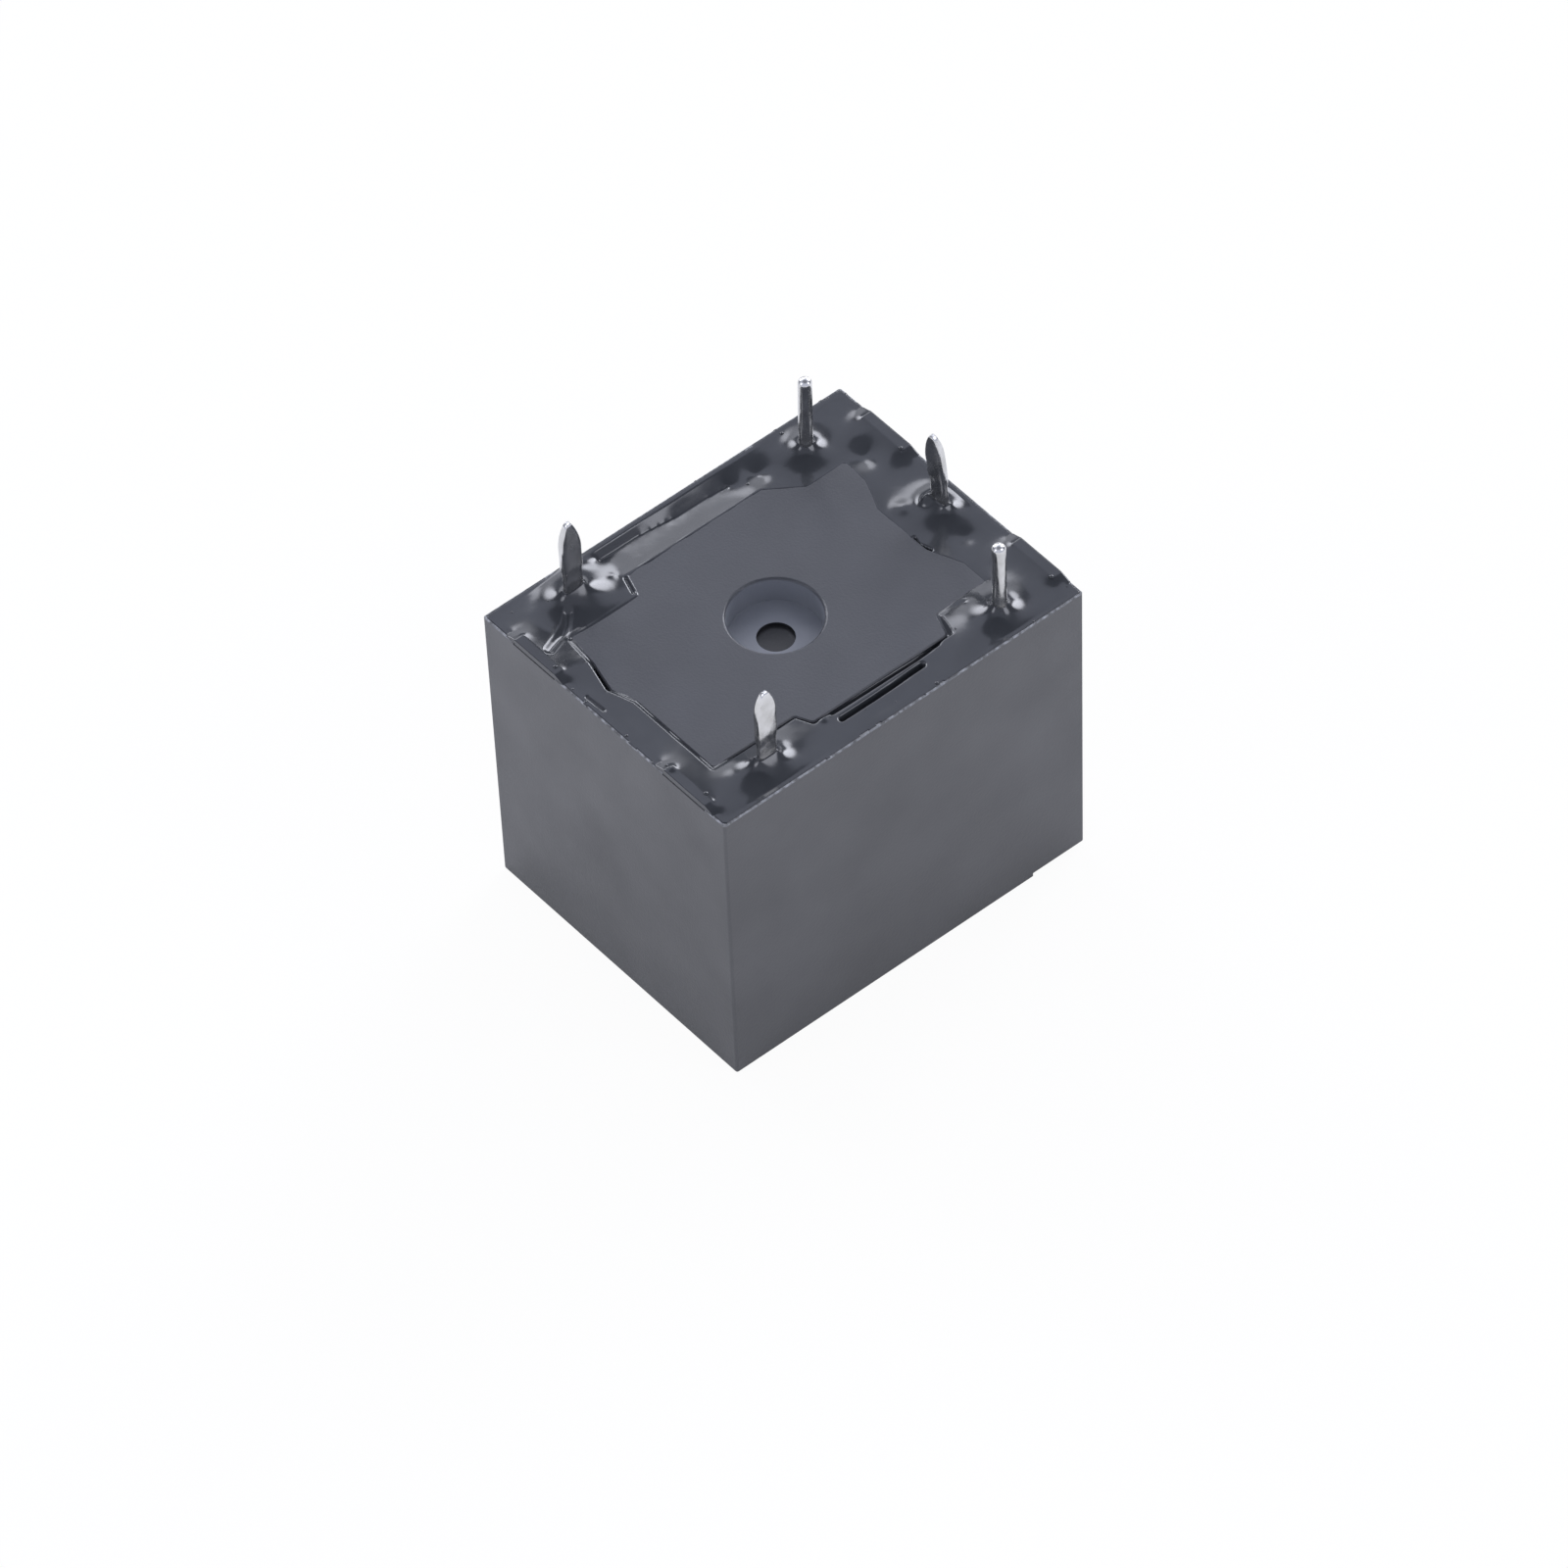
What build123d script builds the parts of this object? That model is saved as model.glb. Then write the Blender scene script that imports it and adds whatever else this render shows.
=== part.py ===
from build123d import *
import os
from math import acos, atan, atan2, cos, degrees, hypot, radians, sin, sqrt

os.makedirs("parts", exist_ok=True)

# A sealed power relay for circuit boards, lying on its closed face with its pins up, in millimetres.
# The origin is the centre of the closed face. +Z leaves the pin side, +X points to the coil pins and the
# common blade, and +Y to the blade of the contact that is closed while the coil is off.

# Cover: a moulded box, open at the pin side
length = 18.8  # along X over the rim
width = 15.05  # along Y over the rim
height = 15.3  # from the closed face to the rim
side_draft = 0.13  # each side leans in by this much between the rim and the closed face
wall = 0.65  # sides below the base
face_wall = 0.7  # closed face
rim_wall = 0.28  # sides beside the base, above the shoulder that it sits on
outer_edge_r = 0.12  # upright edges and round the closed face
inside_corner_r = 0.35
rim_edge = 0.04  # chamfer
vent_recess_r = 2.75  # quarter-round recess in one corner of the closed face
vent_recess_depth = 0.26
vent_nib_r = 0.55  # knob that is cut off to vent the relay
vent_nib_inset = 1.25  # its centre, from both sides of the corner
vent_nib_drop = 0.08  # it stays this far inside the closed face

# Feet of the base, which lie over shallow notches of the rim and hold the relay off the board
foot_length = 2.6  # along Y
foot_back_inset = 3.225  # from the cover's +Y side to the centres of the two feet there
foot_front_inset = 2.525  # from the -Y side
foot_rise = 0.17  # above the rim
foot_depth = 0.75  # along X, from the cover's side inwards
foot_slope = 0.28  # on its inner side
foot_inset = 0.03  # behind the cover's side
foot_edge_r = 0.1
notch_depth = 0.1

# Base: a moulded plate that closes the cover
base_t = 0.85  # plate under the seal
seal_bed = 0.95  # the rim stands this far above the plate
base_fit = 0.05  # round the plate and the feet
island_drop = 0.15  # the island's top stays this far below the rim
island_edge = 0.06  # chamfer
island_corner_r = 0.22
moat_contact_end = 1.75  # from the cover's side to the island, beyond the contact blades
moat_coil_end = 2.4  # beyond the coil pins
moat_waist = 3.05  # beside the common blade
moat_at_pins = 3.1  # along both long sides, beside the pins
moat_at_open_blade = 2.75  # beside the blade of the open contact
moat_between_pins = 2.0  # along both long sides, between the pins
belly_front = (-3.1, 3.95)  # where the island widens along the -Y side
belly_back = (-3.65, 3.45)  # along the +Y side
belly_slope = 0.35
belly_back_slope = 1.5
waist_y = (-1.45, 1.5)
waist_slope = 1.55
nose_y = (0.0, 1.15, 2.7)  # shallow point of the island beside the contact blades: start, tip and end
nose_reach = 0.38
nose_side_taper = 0.2  # the island narrows by this much from there to its corner
gate_pocket_r = 2.0
gate_pocket_x = -0.55
gate_pocket_y = -0.15
gate_pocket_floor = 0.38  # plastic left under the pocket
gate_pocket_edge_r = 0.12
gate_dimple_r = 0.8
gate_dimple_depth = 0.2
dam_length = 4.35  # thin rib beside the island
dam_t = 0.24
dam_centre_x = -0.25
dam_gap = 0.24  # between the rib and the island
dam_rise = 0.06  # above the seal
barrier_t = 0.6  # wall between the coil and the contacts
barrier_from_strips = 0.25
barrier_gap = 0.35  # from the bobbin
barrier_side = 1.15  # from the cover's side to the barrier's edge
post_wall = 0.32  # round the slots that hold the contact terminals
post_height = 4.2

# Seal: epoxy that is poured between the rim and the island
seal_drop = 0.35  # below the rim
bond = 0.01  # between the epoxy and what it holds
meniscus_h = 0.34
meniscus_slope = 0.3
meniscus_t = 0.1

# Pins, placed from the cover's sides. On this cover their pitch is 12.2 along X and 12.0 along Y
com_inset = 1.18  # common blade
com_offset = 2.0  # the coil pins stand this far inside the common blade
contact_inset = 3.42  # contact blades, from the opposite side
row_inset = 1.525  # both rows, from the long sides
footprint_y = -0.1  # all five are shifted by this much
coil_pin_r = 0.28
tin_t = 0.02  # solder on the coil pins, outside the seal
tin_run = 0.55  # it thins out over this height towards the seal
coil_pin_reach = 3.95  # beyond the rim
coil_pin_tip_chamfer = 0.15
coil_pin_stub = 1.1  # below its lug, for the winding's end
blade_w = 1.0
blade_t = 0.4
blade_reach = 4.3
blade_point = 1.45  # height of the pointed arch at its end
blade_point_w = 0.22
pin_slack = 0.05  # round each pin in the base

# Contacts and their terminals
strip_w = 2.4
strip_bend_r = 0.45
strip_shoulder = 0.45
strip_slack = 0.05
arm_gap = 0.25  # from the closed face to the lower arm
contact_r = 1.2
contact_h = 0.4
contact_edge = 0.12
contact_shank_r = 0.6
contact_tail_r = 0.85
contact_tail_h = 0.15
shank_slack = 0.02
contact_air = 0.03  # left between two contacts that meet
moving_contact_r = 1.1
moving_contact_dome = 0.1

# Magnet: core, yoke and armature
swing = 2.5  # degrees that the armature turns through
armature_t = 1.0
armature_w = 9.0
armature_setback = 0.25  # its end stays this far inside the bobbin
armature_nose = 1.6  # corner cut
armature_air = 0.05  # left at the pole while the coil is on
yoke_t = 1.2
yoke_w = 9.0
yoke_bend_r = 0.35
yoke_toe = 2.1  # beyond the core
yoke_gap = 0.1  # below the base
pole_r = 3.0
pole_t = 0.9
pole_edge = 0.15
shaft_r = 1.5
tenon_r = 1.2
tenon_slack = 0.01
tenon_head = 0.35  # cone upset into the yoke

# Coil
winding_crown = 0.12
coil_gap = 0.3  # between the winding and the yoke
flange_t = 0.7
flange_rim = 0.15  # beyond the winding, along X
flange_side = 0.5  # beyond the winding, along Y
flange_corner_r = 1.2
tube_t = 0.5
core_slack = 0.05
wind_slack = 0.02
lug_side = 0.6  # plastic beside the coil pin, along X
lug_gap = 0.08  # from the cover
lug_depth = 0.4  # below the flange
lug_corner_r = 0.2
lead_r = 0.09
lead_drop = 0.45  # below the lug
solder_r = 0.72
solder_h = 0.86
solder_edge = 0.28

# Contact spring and what holds it
spring_t = 0.15
spring_w = 4.4
spring_neck_w = 3.0
spring_bend_r = 0.95
spring_tip = 1.5  # beyond the contact
window_w = 1.5  # opening in the bend
rivet_r = 0.5
rivet_head_r = 0.78
rivet_head_h = 0.22
stud_head_h = 0.14
rivet_slack = 0.04
rivet_spread = 3.8
stud_spread = 2.8
stud_drop = 3.8  # below the yoke's top
foot_land = 1.3  # spring and terminal beyond the studs
com_plate_w = 4.9
com_plate_top = 1.7  # from the studs to the blade's shoulders

# Places that follow from the sizes above
half_x = length / 2
half_y = width / 2
lean = degrees(atan(side_draft / height))
bed_z = height - seal_bed
seat_z = bed_z - base_t
island_z = height - island_drop
seal_z = height - seal_drop
foot_z = height + foot_rise
notch_z = height - notch_depth

foot_centres_y = (half_y - foot_back_inset, foot_front_inset - half_y)

com_x = half_x - com_inset
coil_x = com_x - com_offset
contact_x = contact_inset - half_x
row_y = half_y - row_inset
coil_tip_z = height + coil_pin_reach
blade_tip_z = height + blade_reach
point_z = blade_tip_z - blade_point

hinge_x = com_x - blade_t / 2 - spring_t
yoke_inner_x = hinge_x - yoke_t
barrier_x = contact_x + strip_w / 2 + barrier_from_strips
flange_far_x = barrier_x + barrier_t + barrier_gap
flange_near_x = yoke_inner_x - coil_gap + flange_rim
core_x = (flange_far_x + flange_near_x) / 2
flange_l = flange_near_x - flange_far_x
winding_r = flange_l / 2 - flange_rim
flange_w = 2 * (winding_r + flange_side)

turn = radians(swing)
nc_arm_z = face_wall + arm_gap
nc_face_z = nc_arm_z + blade_t + contact_h
contact_reach = contact_x - hinge_x
hinge_z = (
    nc_face_z
    + contact_air
    - contact_reach * sin(turn)
    + (armature_t + spring_t + contact_h) * cos(turn)
)
pole_z = hinge_z + armature_air
no_face_z = hinge_z - armature_t + contact_h + contact_air
no_arm_z = no_face_z + contact_h

flange_low_z = pole_z + pole_t
yoke_top_z = seat_z - yoke_gap
yoke_under_z = yoke_top_z - yoke_t
stud_z = yoke_top_z - stud_drop
flange_high_z = yoke_under_z - flange_t
winding_low_z = flange_low_z + flange_t + wind_slack
winding_high_z = flange_high_z - wind_slack
lug_low_z = flange_high_z - lug_depth
stub_z = lug_low_z - coil_pin_stub
lead_z = lug_low_z - lead_drop
shoulder_z = seat_z - base_fit

# Centre of each pin in the base, with its sizes along X and Y where it is a blade
pin_places = (
    ((coil_x, footprint_y + row_y), None),
    ((coil_x, footprint_y - row_y), None),
    ((com_x, footprint_y), (blade_t, blade_w)),
    ((contact_x, footprint_y + row_y), (blade_w, blade_t)),
    ((contact_x, footprint_y - row_y), (blade_w, blade_t)),
)
stud_places = ((-stud_spread / 2, stud_z), (stud_spread / 2, stud_z))

# The swinging set is drawn as it lies with the coil on, in a plane that is tilted to the rest position
hinge_plane = Plane(
    origin=(hinge_x, 0, hinge_z),
    x_dir=(cos(turn), 0, sin(turn)),
    z_dir=(-sin(turn), 0, cos(turn)),
)


def inset(z):
    """How far the cover's sides stand in at height z."""
    return side_draft * (1 - z / height)


def box_sizes(z, margin):
    """Length and width of the outline that lies margin inside the cover's sides at height z."""
    return length - 2 * (inset(z) + margin), width - 2 * (inset(z) + margin)


def pin_section(size, margin):
    """Adds the section of a pin, with a margin all round, to the open sketch."""
    if size is None:
        Circle(coil_pin_r + margin)
    else:
        Rectangle(size[0] + 2 * margin, size[1] + 2 * margin)


def foot_sections(depth, margin, mode=Mode.ADD):
    """Adds the section of each foot, from its inner side outwards, to the open sketch."""
    section_w = foot_length + 2 * (margin - base_fit)
    for end, align in ((-1, Align.MAX), (1, Align.MIN)):
        for y in foot_centres_y:
            with Locations((end * (half_x - foot_depth - margin), y)):
                Rectangle(depth + margin, section_w, align=(align, Align.CENTER), mode=mode)


def blade_end(centre):
    """Draws the pointed arch that ends a blade, in the open line."""
    for side in (-1, 1):
        arch_foot = (centre + side * blade_w / 2, point_z)
        TangentArc(arch_foot, (centre + side * blade_point_w / 2, blade_tip_z), tangent=(0, 1))
    Line((centre - blade_point_w / 2, blade_tip_z), (centre + blade_point_w / 2, blade_tip_z))


def runs_up_the_cavity(edge):
    """Whether an edge goes up from the inside of the closed face to the base's seat."""
    box = edge.bounding_box()
    return abs(box.min.Z - face_wall) < bond and abs(box.max.Z - seat_z) < bond


# Cover
with BuildPart() as cover:
    with BuildSketch():
        Rectangle(*box_sizes(0, 0))
    extrude(amount=height)
    draft(faces().filter_by(Axis.Z, reverse=True), Plane.XY, -lean)
    fillet(edges() - edges().group_by(Axis.Z)[-1], outer_edge_r)
    chamfer(faces().sort_by(Axis.Z)[-1].edges(), rim_edge)
    with BuildSketch(Plane.XY.offset(seat_z)):
        RectangleRounded(*box_sizes(seat_z, rim_wall), inside_corner_r)
    extrude(amount=height - seat_z, mode=Mode.SUBTRACT)
    with BuildSketch(Plane.XY.offset(face_wall)):
        Rectangle(*box_sizes(face_wall, wall))
    extrude(amount=seat_z - face_wall, mode=Mode.SUBTRACT)
    draft(faces(Select.LAST).filter_by(Axis.Z, reverse=True), Plane.XY.offset(face_wall), lean)
    fillet(edges().filter_by(runs_up_the_cavity), inside_corner_r)
    with BuildSketch(Plane.XY.offset(notch_z)):
        for end in (-1, 1):
            for y in foot_centres_y:
                with Locations((end * half_x, y)):
                    Rectangle(2 * (rim_wall + base_fit), foot_length)
    extrude(amount=notch_depth, mode=Mode.SUBTRACT)
    with BuildSketch():
        with Locations((half_x - side_draft, side_draft - half_y)):
            Circle(vent_recess_r)
    extrude(amount=vent_recess_depth, mode=Mode.SUBTRACT)
    with BuildSketch(Plane.XY.offset(vent_nib_drop)):
        with Locations((half_x - side_draft - vent_nib_inset, side_draft + vent_nib_inset - half_y)):
            Circle(vent_nib_r)
    extrude(amount=vent_recess_depth - vent_nib_drop)
cover.part.label = "cover"
export_step(cover.part, "parts/cover.step")

# Outline of the island, counter-clockwise from the corner beside the blade of the open contact
near_x = half_x - moat_coil_end
far_x = moat_contact_end - half_x
waist_x = half_x - moat_waist
shoulder_y = half_y - moat_at_pins
front_y = half_y - moat_at_open_blade
belly_y = half_y - moat_between_pins
island_points = (
    (far_x, -front_y),
    (belly_front[0] - belly_slope, -front_y),
    (belly_front[0], -belly_y),
    (belly_front[1], -belly_y),
    (belly_front[1] + belly_slope, -shoulder_y),
    (near_x, -shoulder_y),
    (near_x, waist_y[0] - waist_slope),
    (waist_x, waist_y[0]),
    (waist_x, waist_y[1]),
    (near_x, waist_y[1] + waist_slope),
    (near_x, shoulder_y),
    (belly_back[1] + belly_back_slope, shoulder_y),
    (belly_back[1], belly_y),
    (belly_back[0], belly_y),
    (belly_back[0] - belly_slope, shoulder_y),
    (far_x + nose_side_taper, shoulder_y),
    (far_x, nose_y[2]),
    (far_x - nose_reach, nose_y[1]),
    (far_x, nose_y[0]),
)
dam_y = -belly_y - dam_gap - dam_t / 2
post_far_x = contact_x - strip_w / 2 - strip_slack - post_wall
post_in_y = row_y - blade_t / 2 - strip_slack - post_wall
post_out_y = row_y + blade_t / 2 + strip_slack + post_wall
post_x = (post_far_x + barrier_x) / 2
post_y = (post_in_y + post_out_y) / 2

# Base
with BuildPart() as base:
    with BuildSketch(Plane.XY.offset(seat_z)):
        RectangleRounded(*box_sizes(seat_z, rim_wall + base_fit), inside_corner_r)
    extrude(amount=base_t)
    with BuildSketch(Plane.XY.offset(bed_z)):
        with BuildLine():
            FilletPolyline(*island_points, radius=island_corner_r, close=True)
        make_face()
    extrude(amount=island_z - bed_z)
    chamfer(faces().sort_by(Axis.Z)[-1].edges(), island_edge)
    with BuildSketch(Plane.XY.offset(bed_z)):
        with Locations((dam_centre_x, dam_y)):
            SlotOverall(dam_length, dam_t)
    extrude(amount=seal_z + dam_rise - bed_z)
    # Feet, which reach out over the notches of the rim
    with BuildSketch(Plane.XY.offset(bed_z)):
        foot_sections(foot_depth - rim_wall - base_fit - inset(seat_z), 0)
    extrude(amount=foot_z - bed_z)
    with BuildSketch(Plane.XY.offset(notch_z)):
        foot_sections(foot_depth - foot_inset, 0)
    extrude(amount=foot_z - notch_z)
    inner_x = half_x - foot_depth + bond
    foot_edges = edges().group_by(Axis.Z)[-1].filter_by(Axis.Y)
    chamfer(foot_edges.filter_by(lambda edge: abs(edge.center().X) < inner_x), foot_slope)
    fillet(edges().group_by(Axis.Z)[-1], foot_edge_r)
    # Barrier and the two posts that hold the contact terminals
    with BuildSketch(Plane.XY.offset(seat_z)):
        with Locations((barrier_x, 0)):
            Rectangle(barrier_t, width - 2 * barrier_side, align=(Align.MIN, Align.CENTER))
    extrude(amount=flange_low_z - seat_z)
    with BuildSketch(Plane.XY.offset(seat_z)):
        for side in (-1, 1):
            with Locations((post_x, footprint_y + side * post_y)):
                Rectangle(barrier_x - post_far_x, post_out_y - post_in_y)
    extrude(amount=-post_height)
    with BuildSketch(Plane.XY.offset(seat_z)):
        for side in (-1, 1):
            with Locations((contact_x, footprint_y + side * row_y)):
                Rectangle(strip_w + 2 * strip_slack, blade_t + 2 * strip_slack)
    extrude(amount=-post_height, mode=Mode.SUBTRACT)
    with BuildSketch(Plane.XY.offset(seat_z)):
        for place, size in pin_places:
            with Locations(place):
                pin_section(size, pin_slack)
    extrude(amount=island_z - seat_z, mode=Mode.SUBTRACT)
    # Gate pocket
    with BuildSketch(Plane.XY.offset(seat_z + gate_pocket_floor)):
        with Locations((gate_pocket_x, gate_pocket_y)):
            Circle(gate_pocket_r)
    extrude(amount=island_z - seat_z, mode=Mode.SUBTRACT)
    with BuildSketch(Plane.XY.offset(seat_z + gate_pocket_floor)):
        with Locations((gate_pocket_x, gate_pocket_y)):
            Circle(gate_dimple_r)
    extrude(amount=-gate_dimple_depth, mode=Mode.SUBTRACT)
    round_edges = edges().filter_by(GeomType.CIRCLE)
    pocket_edges = round_edges.filter_by(lambda edge: abs(edge.radius - gate_pocket_r) < bond)
    fillet(pocket_edges.sort_by(Axis.Z)[-1], gate_pocket_edge_r)
base.part.label = "base"
export_step(base.part, "parts/base.step")

# Seal: one ring of epoxy, which climbs a little at each pin
meniscus_reach = blade_w / 2 + meniscus_t + bond


def beside_a_pin(edge):
    """Whether an edge's centre lies no further from a pin's centre than the epoxy's rise there."""
    centre = edge.center()
    return any(hypot(centre.X - x, centre.Y - y) < meniscus_reach for (x, y), _ in pin_places)


with BuildPart() as sealant:
    with BuildSketch(Plane.XY.offset(bed_z)):
        RectangleRounded(*box_sizes(seat_z, rim_wall + bond), inside_corner_r)
        with BuildLine():
            FilletPolyline(*island_points, radius=island_corner_r, close=True)
        offset(make_face(mode=Mode.PRIVATE), amount=bond, mode=Mode.SUBTRACT)
        with Locations((dam_centre_x, dam_y)):
            SlotOverall(dam_length + 2 * bond, dam_t + 2 * bond, mode=Mode.SUBTRACT)
        foot_sections(foot_depth, bond, Mode.SUBTRACT)
    extrude(amount=seal_z - bed_z)
    with BuildSketch(Plane.XY.offset(seal_z)):
        for place, size in pin_places:
            with Locations(place):
                pin_section(size, meniscus_t)
    extrude(amount=meniscus_h)
    seal_edges = edges().filter_by_position(Axis.Z, seal_z - bond, seal_z + bond)
    chamfer(seal_edges.filter_by(beside_a_pin), meniscus_slope)
    with BuildSketch(Plane.XY.offset(bed_z)):
        for place, size in pin_places:
            with Locations(place):
                pin_section(size, bond)
    extrude(amount=seal_z + meniscus_h - bed_z, mode=Mode.SUBTRACT)
sealant.part.label = "sealant"
export_step(sealant.part, "parts/sealant.step")

# Coil pins, pressed through the lugs of the bobbin and tinned outside the seal
tin_z = seal_z + meniscus_h + bond
for name, side in (("coil_pin_a", 1), ("coil_pin_b", -1)):
    with BuildPart() as coil_pin:
        with BuildSketch(Plane.XY.offset(stub_z)):
            with Locations((coil_x, footprint_y + side * row_y)):
                Circle(coil_pin_r)
        extrude(amount=coil_tip_z - stub_z)
        with BuildSketch(Plane.XY.offset(tin_z)):
            with Locations((coil_x, footprint_y + side * row_y)):
                Circle(coil_pin_r)
        extrude(amount=tin_run, taper=-degrees(atan(tin_t / tin_run)))
        with BuildSketch(Plane.XY.offset(tin_z + tin_run)):
            with Locations((coil_x, footprint_y + side * row_y)):
                Circle(coil_pin_r + tin_t)
        extrude(amount=coil_tip_z - tin_z - tin_run)
        chamfer(edges().sort_by(Axis.Z)[-1], coil_pin_tip_chamfer)
    coil_pin.part.label = name
    export_step(coil_pin.part, f"parts/{name}.step")

# Core: pole face, shaft and tenon, whose end is upset into the yoke
with BuildPart() as core:
    with BuildSketch(Plane.XY.offset(pole_z)):
        with Locations((core_x, 0)):
            Circle(pole_r)
    extrude(amount=pole_t)
    chamfer(edges().sort_by(Axis.Z)[0], pole_edge)
    with BuildSketch(Plane.XY.offset(flange_low_z)):
        with Locations((core_x, 0)):
            Circle(shaft_r)
    extrude(amount=yoke_under_z - flange_low_z)
    with BuildSketch(Plane.XY.offset(yoke_under_z)):
        with Locations((core_x, 0)):
            Circle(tenon_r)
    extrude(amount=yoke_t)
    with BuildSketch(Plane.XY.offset(yoke_top_z)):
        with Locations((core_x, 0)):
            Circle(tenon_r + tenon_head)
    extrude(amount=-tenon_head, taper=45)
core.part.label = "core"
export_step(core.part, "parts/core.step")

# Yoke: bent iron strip with a countersunk hole for the tenon and two studs on its back
with BuildPart() as yoke:
    with BuildSketch(Plane.XZ.offset(-yoke_w / 2)):
        with BuildLine():
            Polyline(
                (hinge_x, pole_z),
                (hinge_x, yoke_top_z),
                (core_x - shaft_r - yoke_toe, yoke_top_z),
                (core_x - shaft_r - yoke_toe, yoke_under_z),
                (yoke_inner_x, yoke_under_z),
                (yoke_inner_x, pole_z),
                close=True,
            )
        make_face()
    extrude(amount=yoke_w)
    bend_edges = edges().filter_by(Axis.Y)
    fillet(bend_edges.sort_by_distance((hinge_x, 0, yoke_top_z))[0], yoke_bend_r + yoke_t)
    bend_edges = edges().filter_by(Axis.Y)
    fillet(bend_edges.sort_by_distance((yoke_inner_x, 0, yoke_under_z))[0], yoke_bend_r)
    with BuildSketch(Plane.XY.offset(yoke_under_z)):
        with Locations((core_x, 0)):
            Circle(tenon_r + tenon_slack)
    extrude(amount=yoke_t, mode=Mode.SUBTRACT)
    with BuildSketch(Plane.XY.offset(yoke_top_z)):
        with Locations((core_x, 0)):
            Circle(tenon_r + tenon_head + tenon_slack)
    extrude(amount=-tenon_head - tenon_slack, taper=45, mode=Mode.SUBTRACT)
    with BuildSketch(Plane.YZ.offset(hinge_x)):
        with Locations(*stud_places):
            Circle(rivet_r)
    extrude(amount=spring_t + blade_t)
    with BuildSketch(Plane.YZ.offset(hinge_x + spring_t + blade_t)):
        with Locations(*stud_places):
            Circle(rivet_head_r)
    extrude(amount=stud_head_h)
    chamfer(edges().filter_by(GeomType.CIRCLE).group_by(Axis.X)[-1], stud_head_h / 2)
yoke.part.label = "yoke"
export_step(yoke.part, "parts/yoke.step")

# Bobbin: two flanges on a tube, with a lug beside the yoke for each coil pin
lug_in_y = yoke_w / 2 + wind_slack + coil_gap / 2
lug_out_y = half_y - side_draft - wall - lug_gap
lug_l = 2 * (coil_pin_r + lug_side)
with BuildPart() as bobbin:
    for flange_z in (flange_low_z, flange_high_z):
        with BuildSketch(Plane.XY.offset(flange_z)):
            with Locations((core_x, 0)):
                RectangleRounded(flange_l, flange_w, flange_corner_r)
        extrude(amount=flange_t)
    with BuildSketch(Plane.XY.offset(flange_high_z)):
        with Locations((coil_x - lug_l / 2, 0)):
            Rectangle(flange_near_x - coil_x + lug_l / 2, 2 * lug_out_y, align=(Align.MIN, Align.CENTER))
    extrude(amount=flange_t)
    chamfer(edges().filter_by(Axis.Y).sort_by_distance((flange_near_x, 0, yoke_under_z))[0], yoke_bend_r)
    with BuildSketch(Plane.XY.offset(flange_low_z)):
        with Locations((core_x, 0)):
            Circle(shaft_r + core_slack + tube_t)
    extrude(amount=yoke_under_z - flange_low_z)
    with BuildSketch(Plane.XY.offset(lug_low_z)):
        for side in (-1, 1):
            with Locations((coil_x, side * (lug_in_y + lug_out_y) / 2)):
                RectangleRounded(lug_l, lug_out_y - lug_in_y, lug_corner_r)
    extrude(amount=yoke_top_z - lug_low_z)
    with BuildSketch(Plane.XY.offset(flange_low_z)):
        with Locations((core_x, 0)):
            Circle(shaft_r + core_slack)
        for side in (-1, 1):
            with Locations((coil_x, footprint_y + side * row_y)):
                Circle(coil_pin_r + bond)
    extrude(amount=yoke_top_z - flange_low_z, mode=Mode.SUBTRACT)
bobbin.part.label = "bobbin"
export_step(bobbin.part, "parts/bobbin.step")

# Winding of enamelled copper wire, a little fuller in the middle
winding_in_r = shaft_r + core_slack + tube_t + wind_slack
winding_end_r = winding_r - winding_crown
winding_mid_z = (winding_low_z + winding_high_z) / 2
with BuildPart() as coil_winding:
    with BuildSketch(Plane(origin=(core_x, 0, 0), x_dir=(1, 0, 0), z_dir=(0, -1, 0))):
        with BuildLine():
            Polyline(
                (winding_end_r, winding_high_z),
                (winding_in_r, winding_high_z),
                (winding_in_r, winding_low_z),
                (winding_end_r, winding_low_z),
            )
            ThreePointArc(
                (winding_end_r, winding_low_z), (winding_r, winding_mid_z), (winding_end_r, winding_high_z)
            )
        make_face()
    revolve(axis=Axis((core_x, 0, 0), (0, 0, 1)))
coil_winding.part.label = "coil_winding"
export_step(coil_winding.part, "parts/coil_winding.step")

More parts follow.
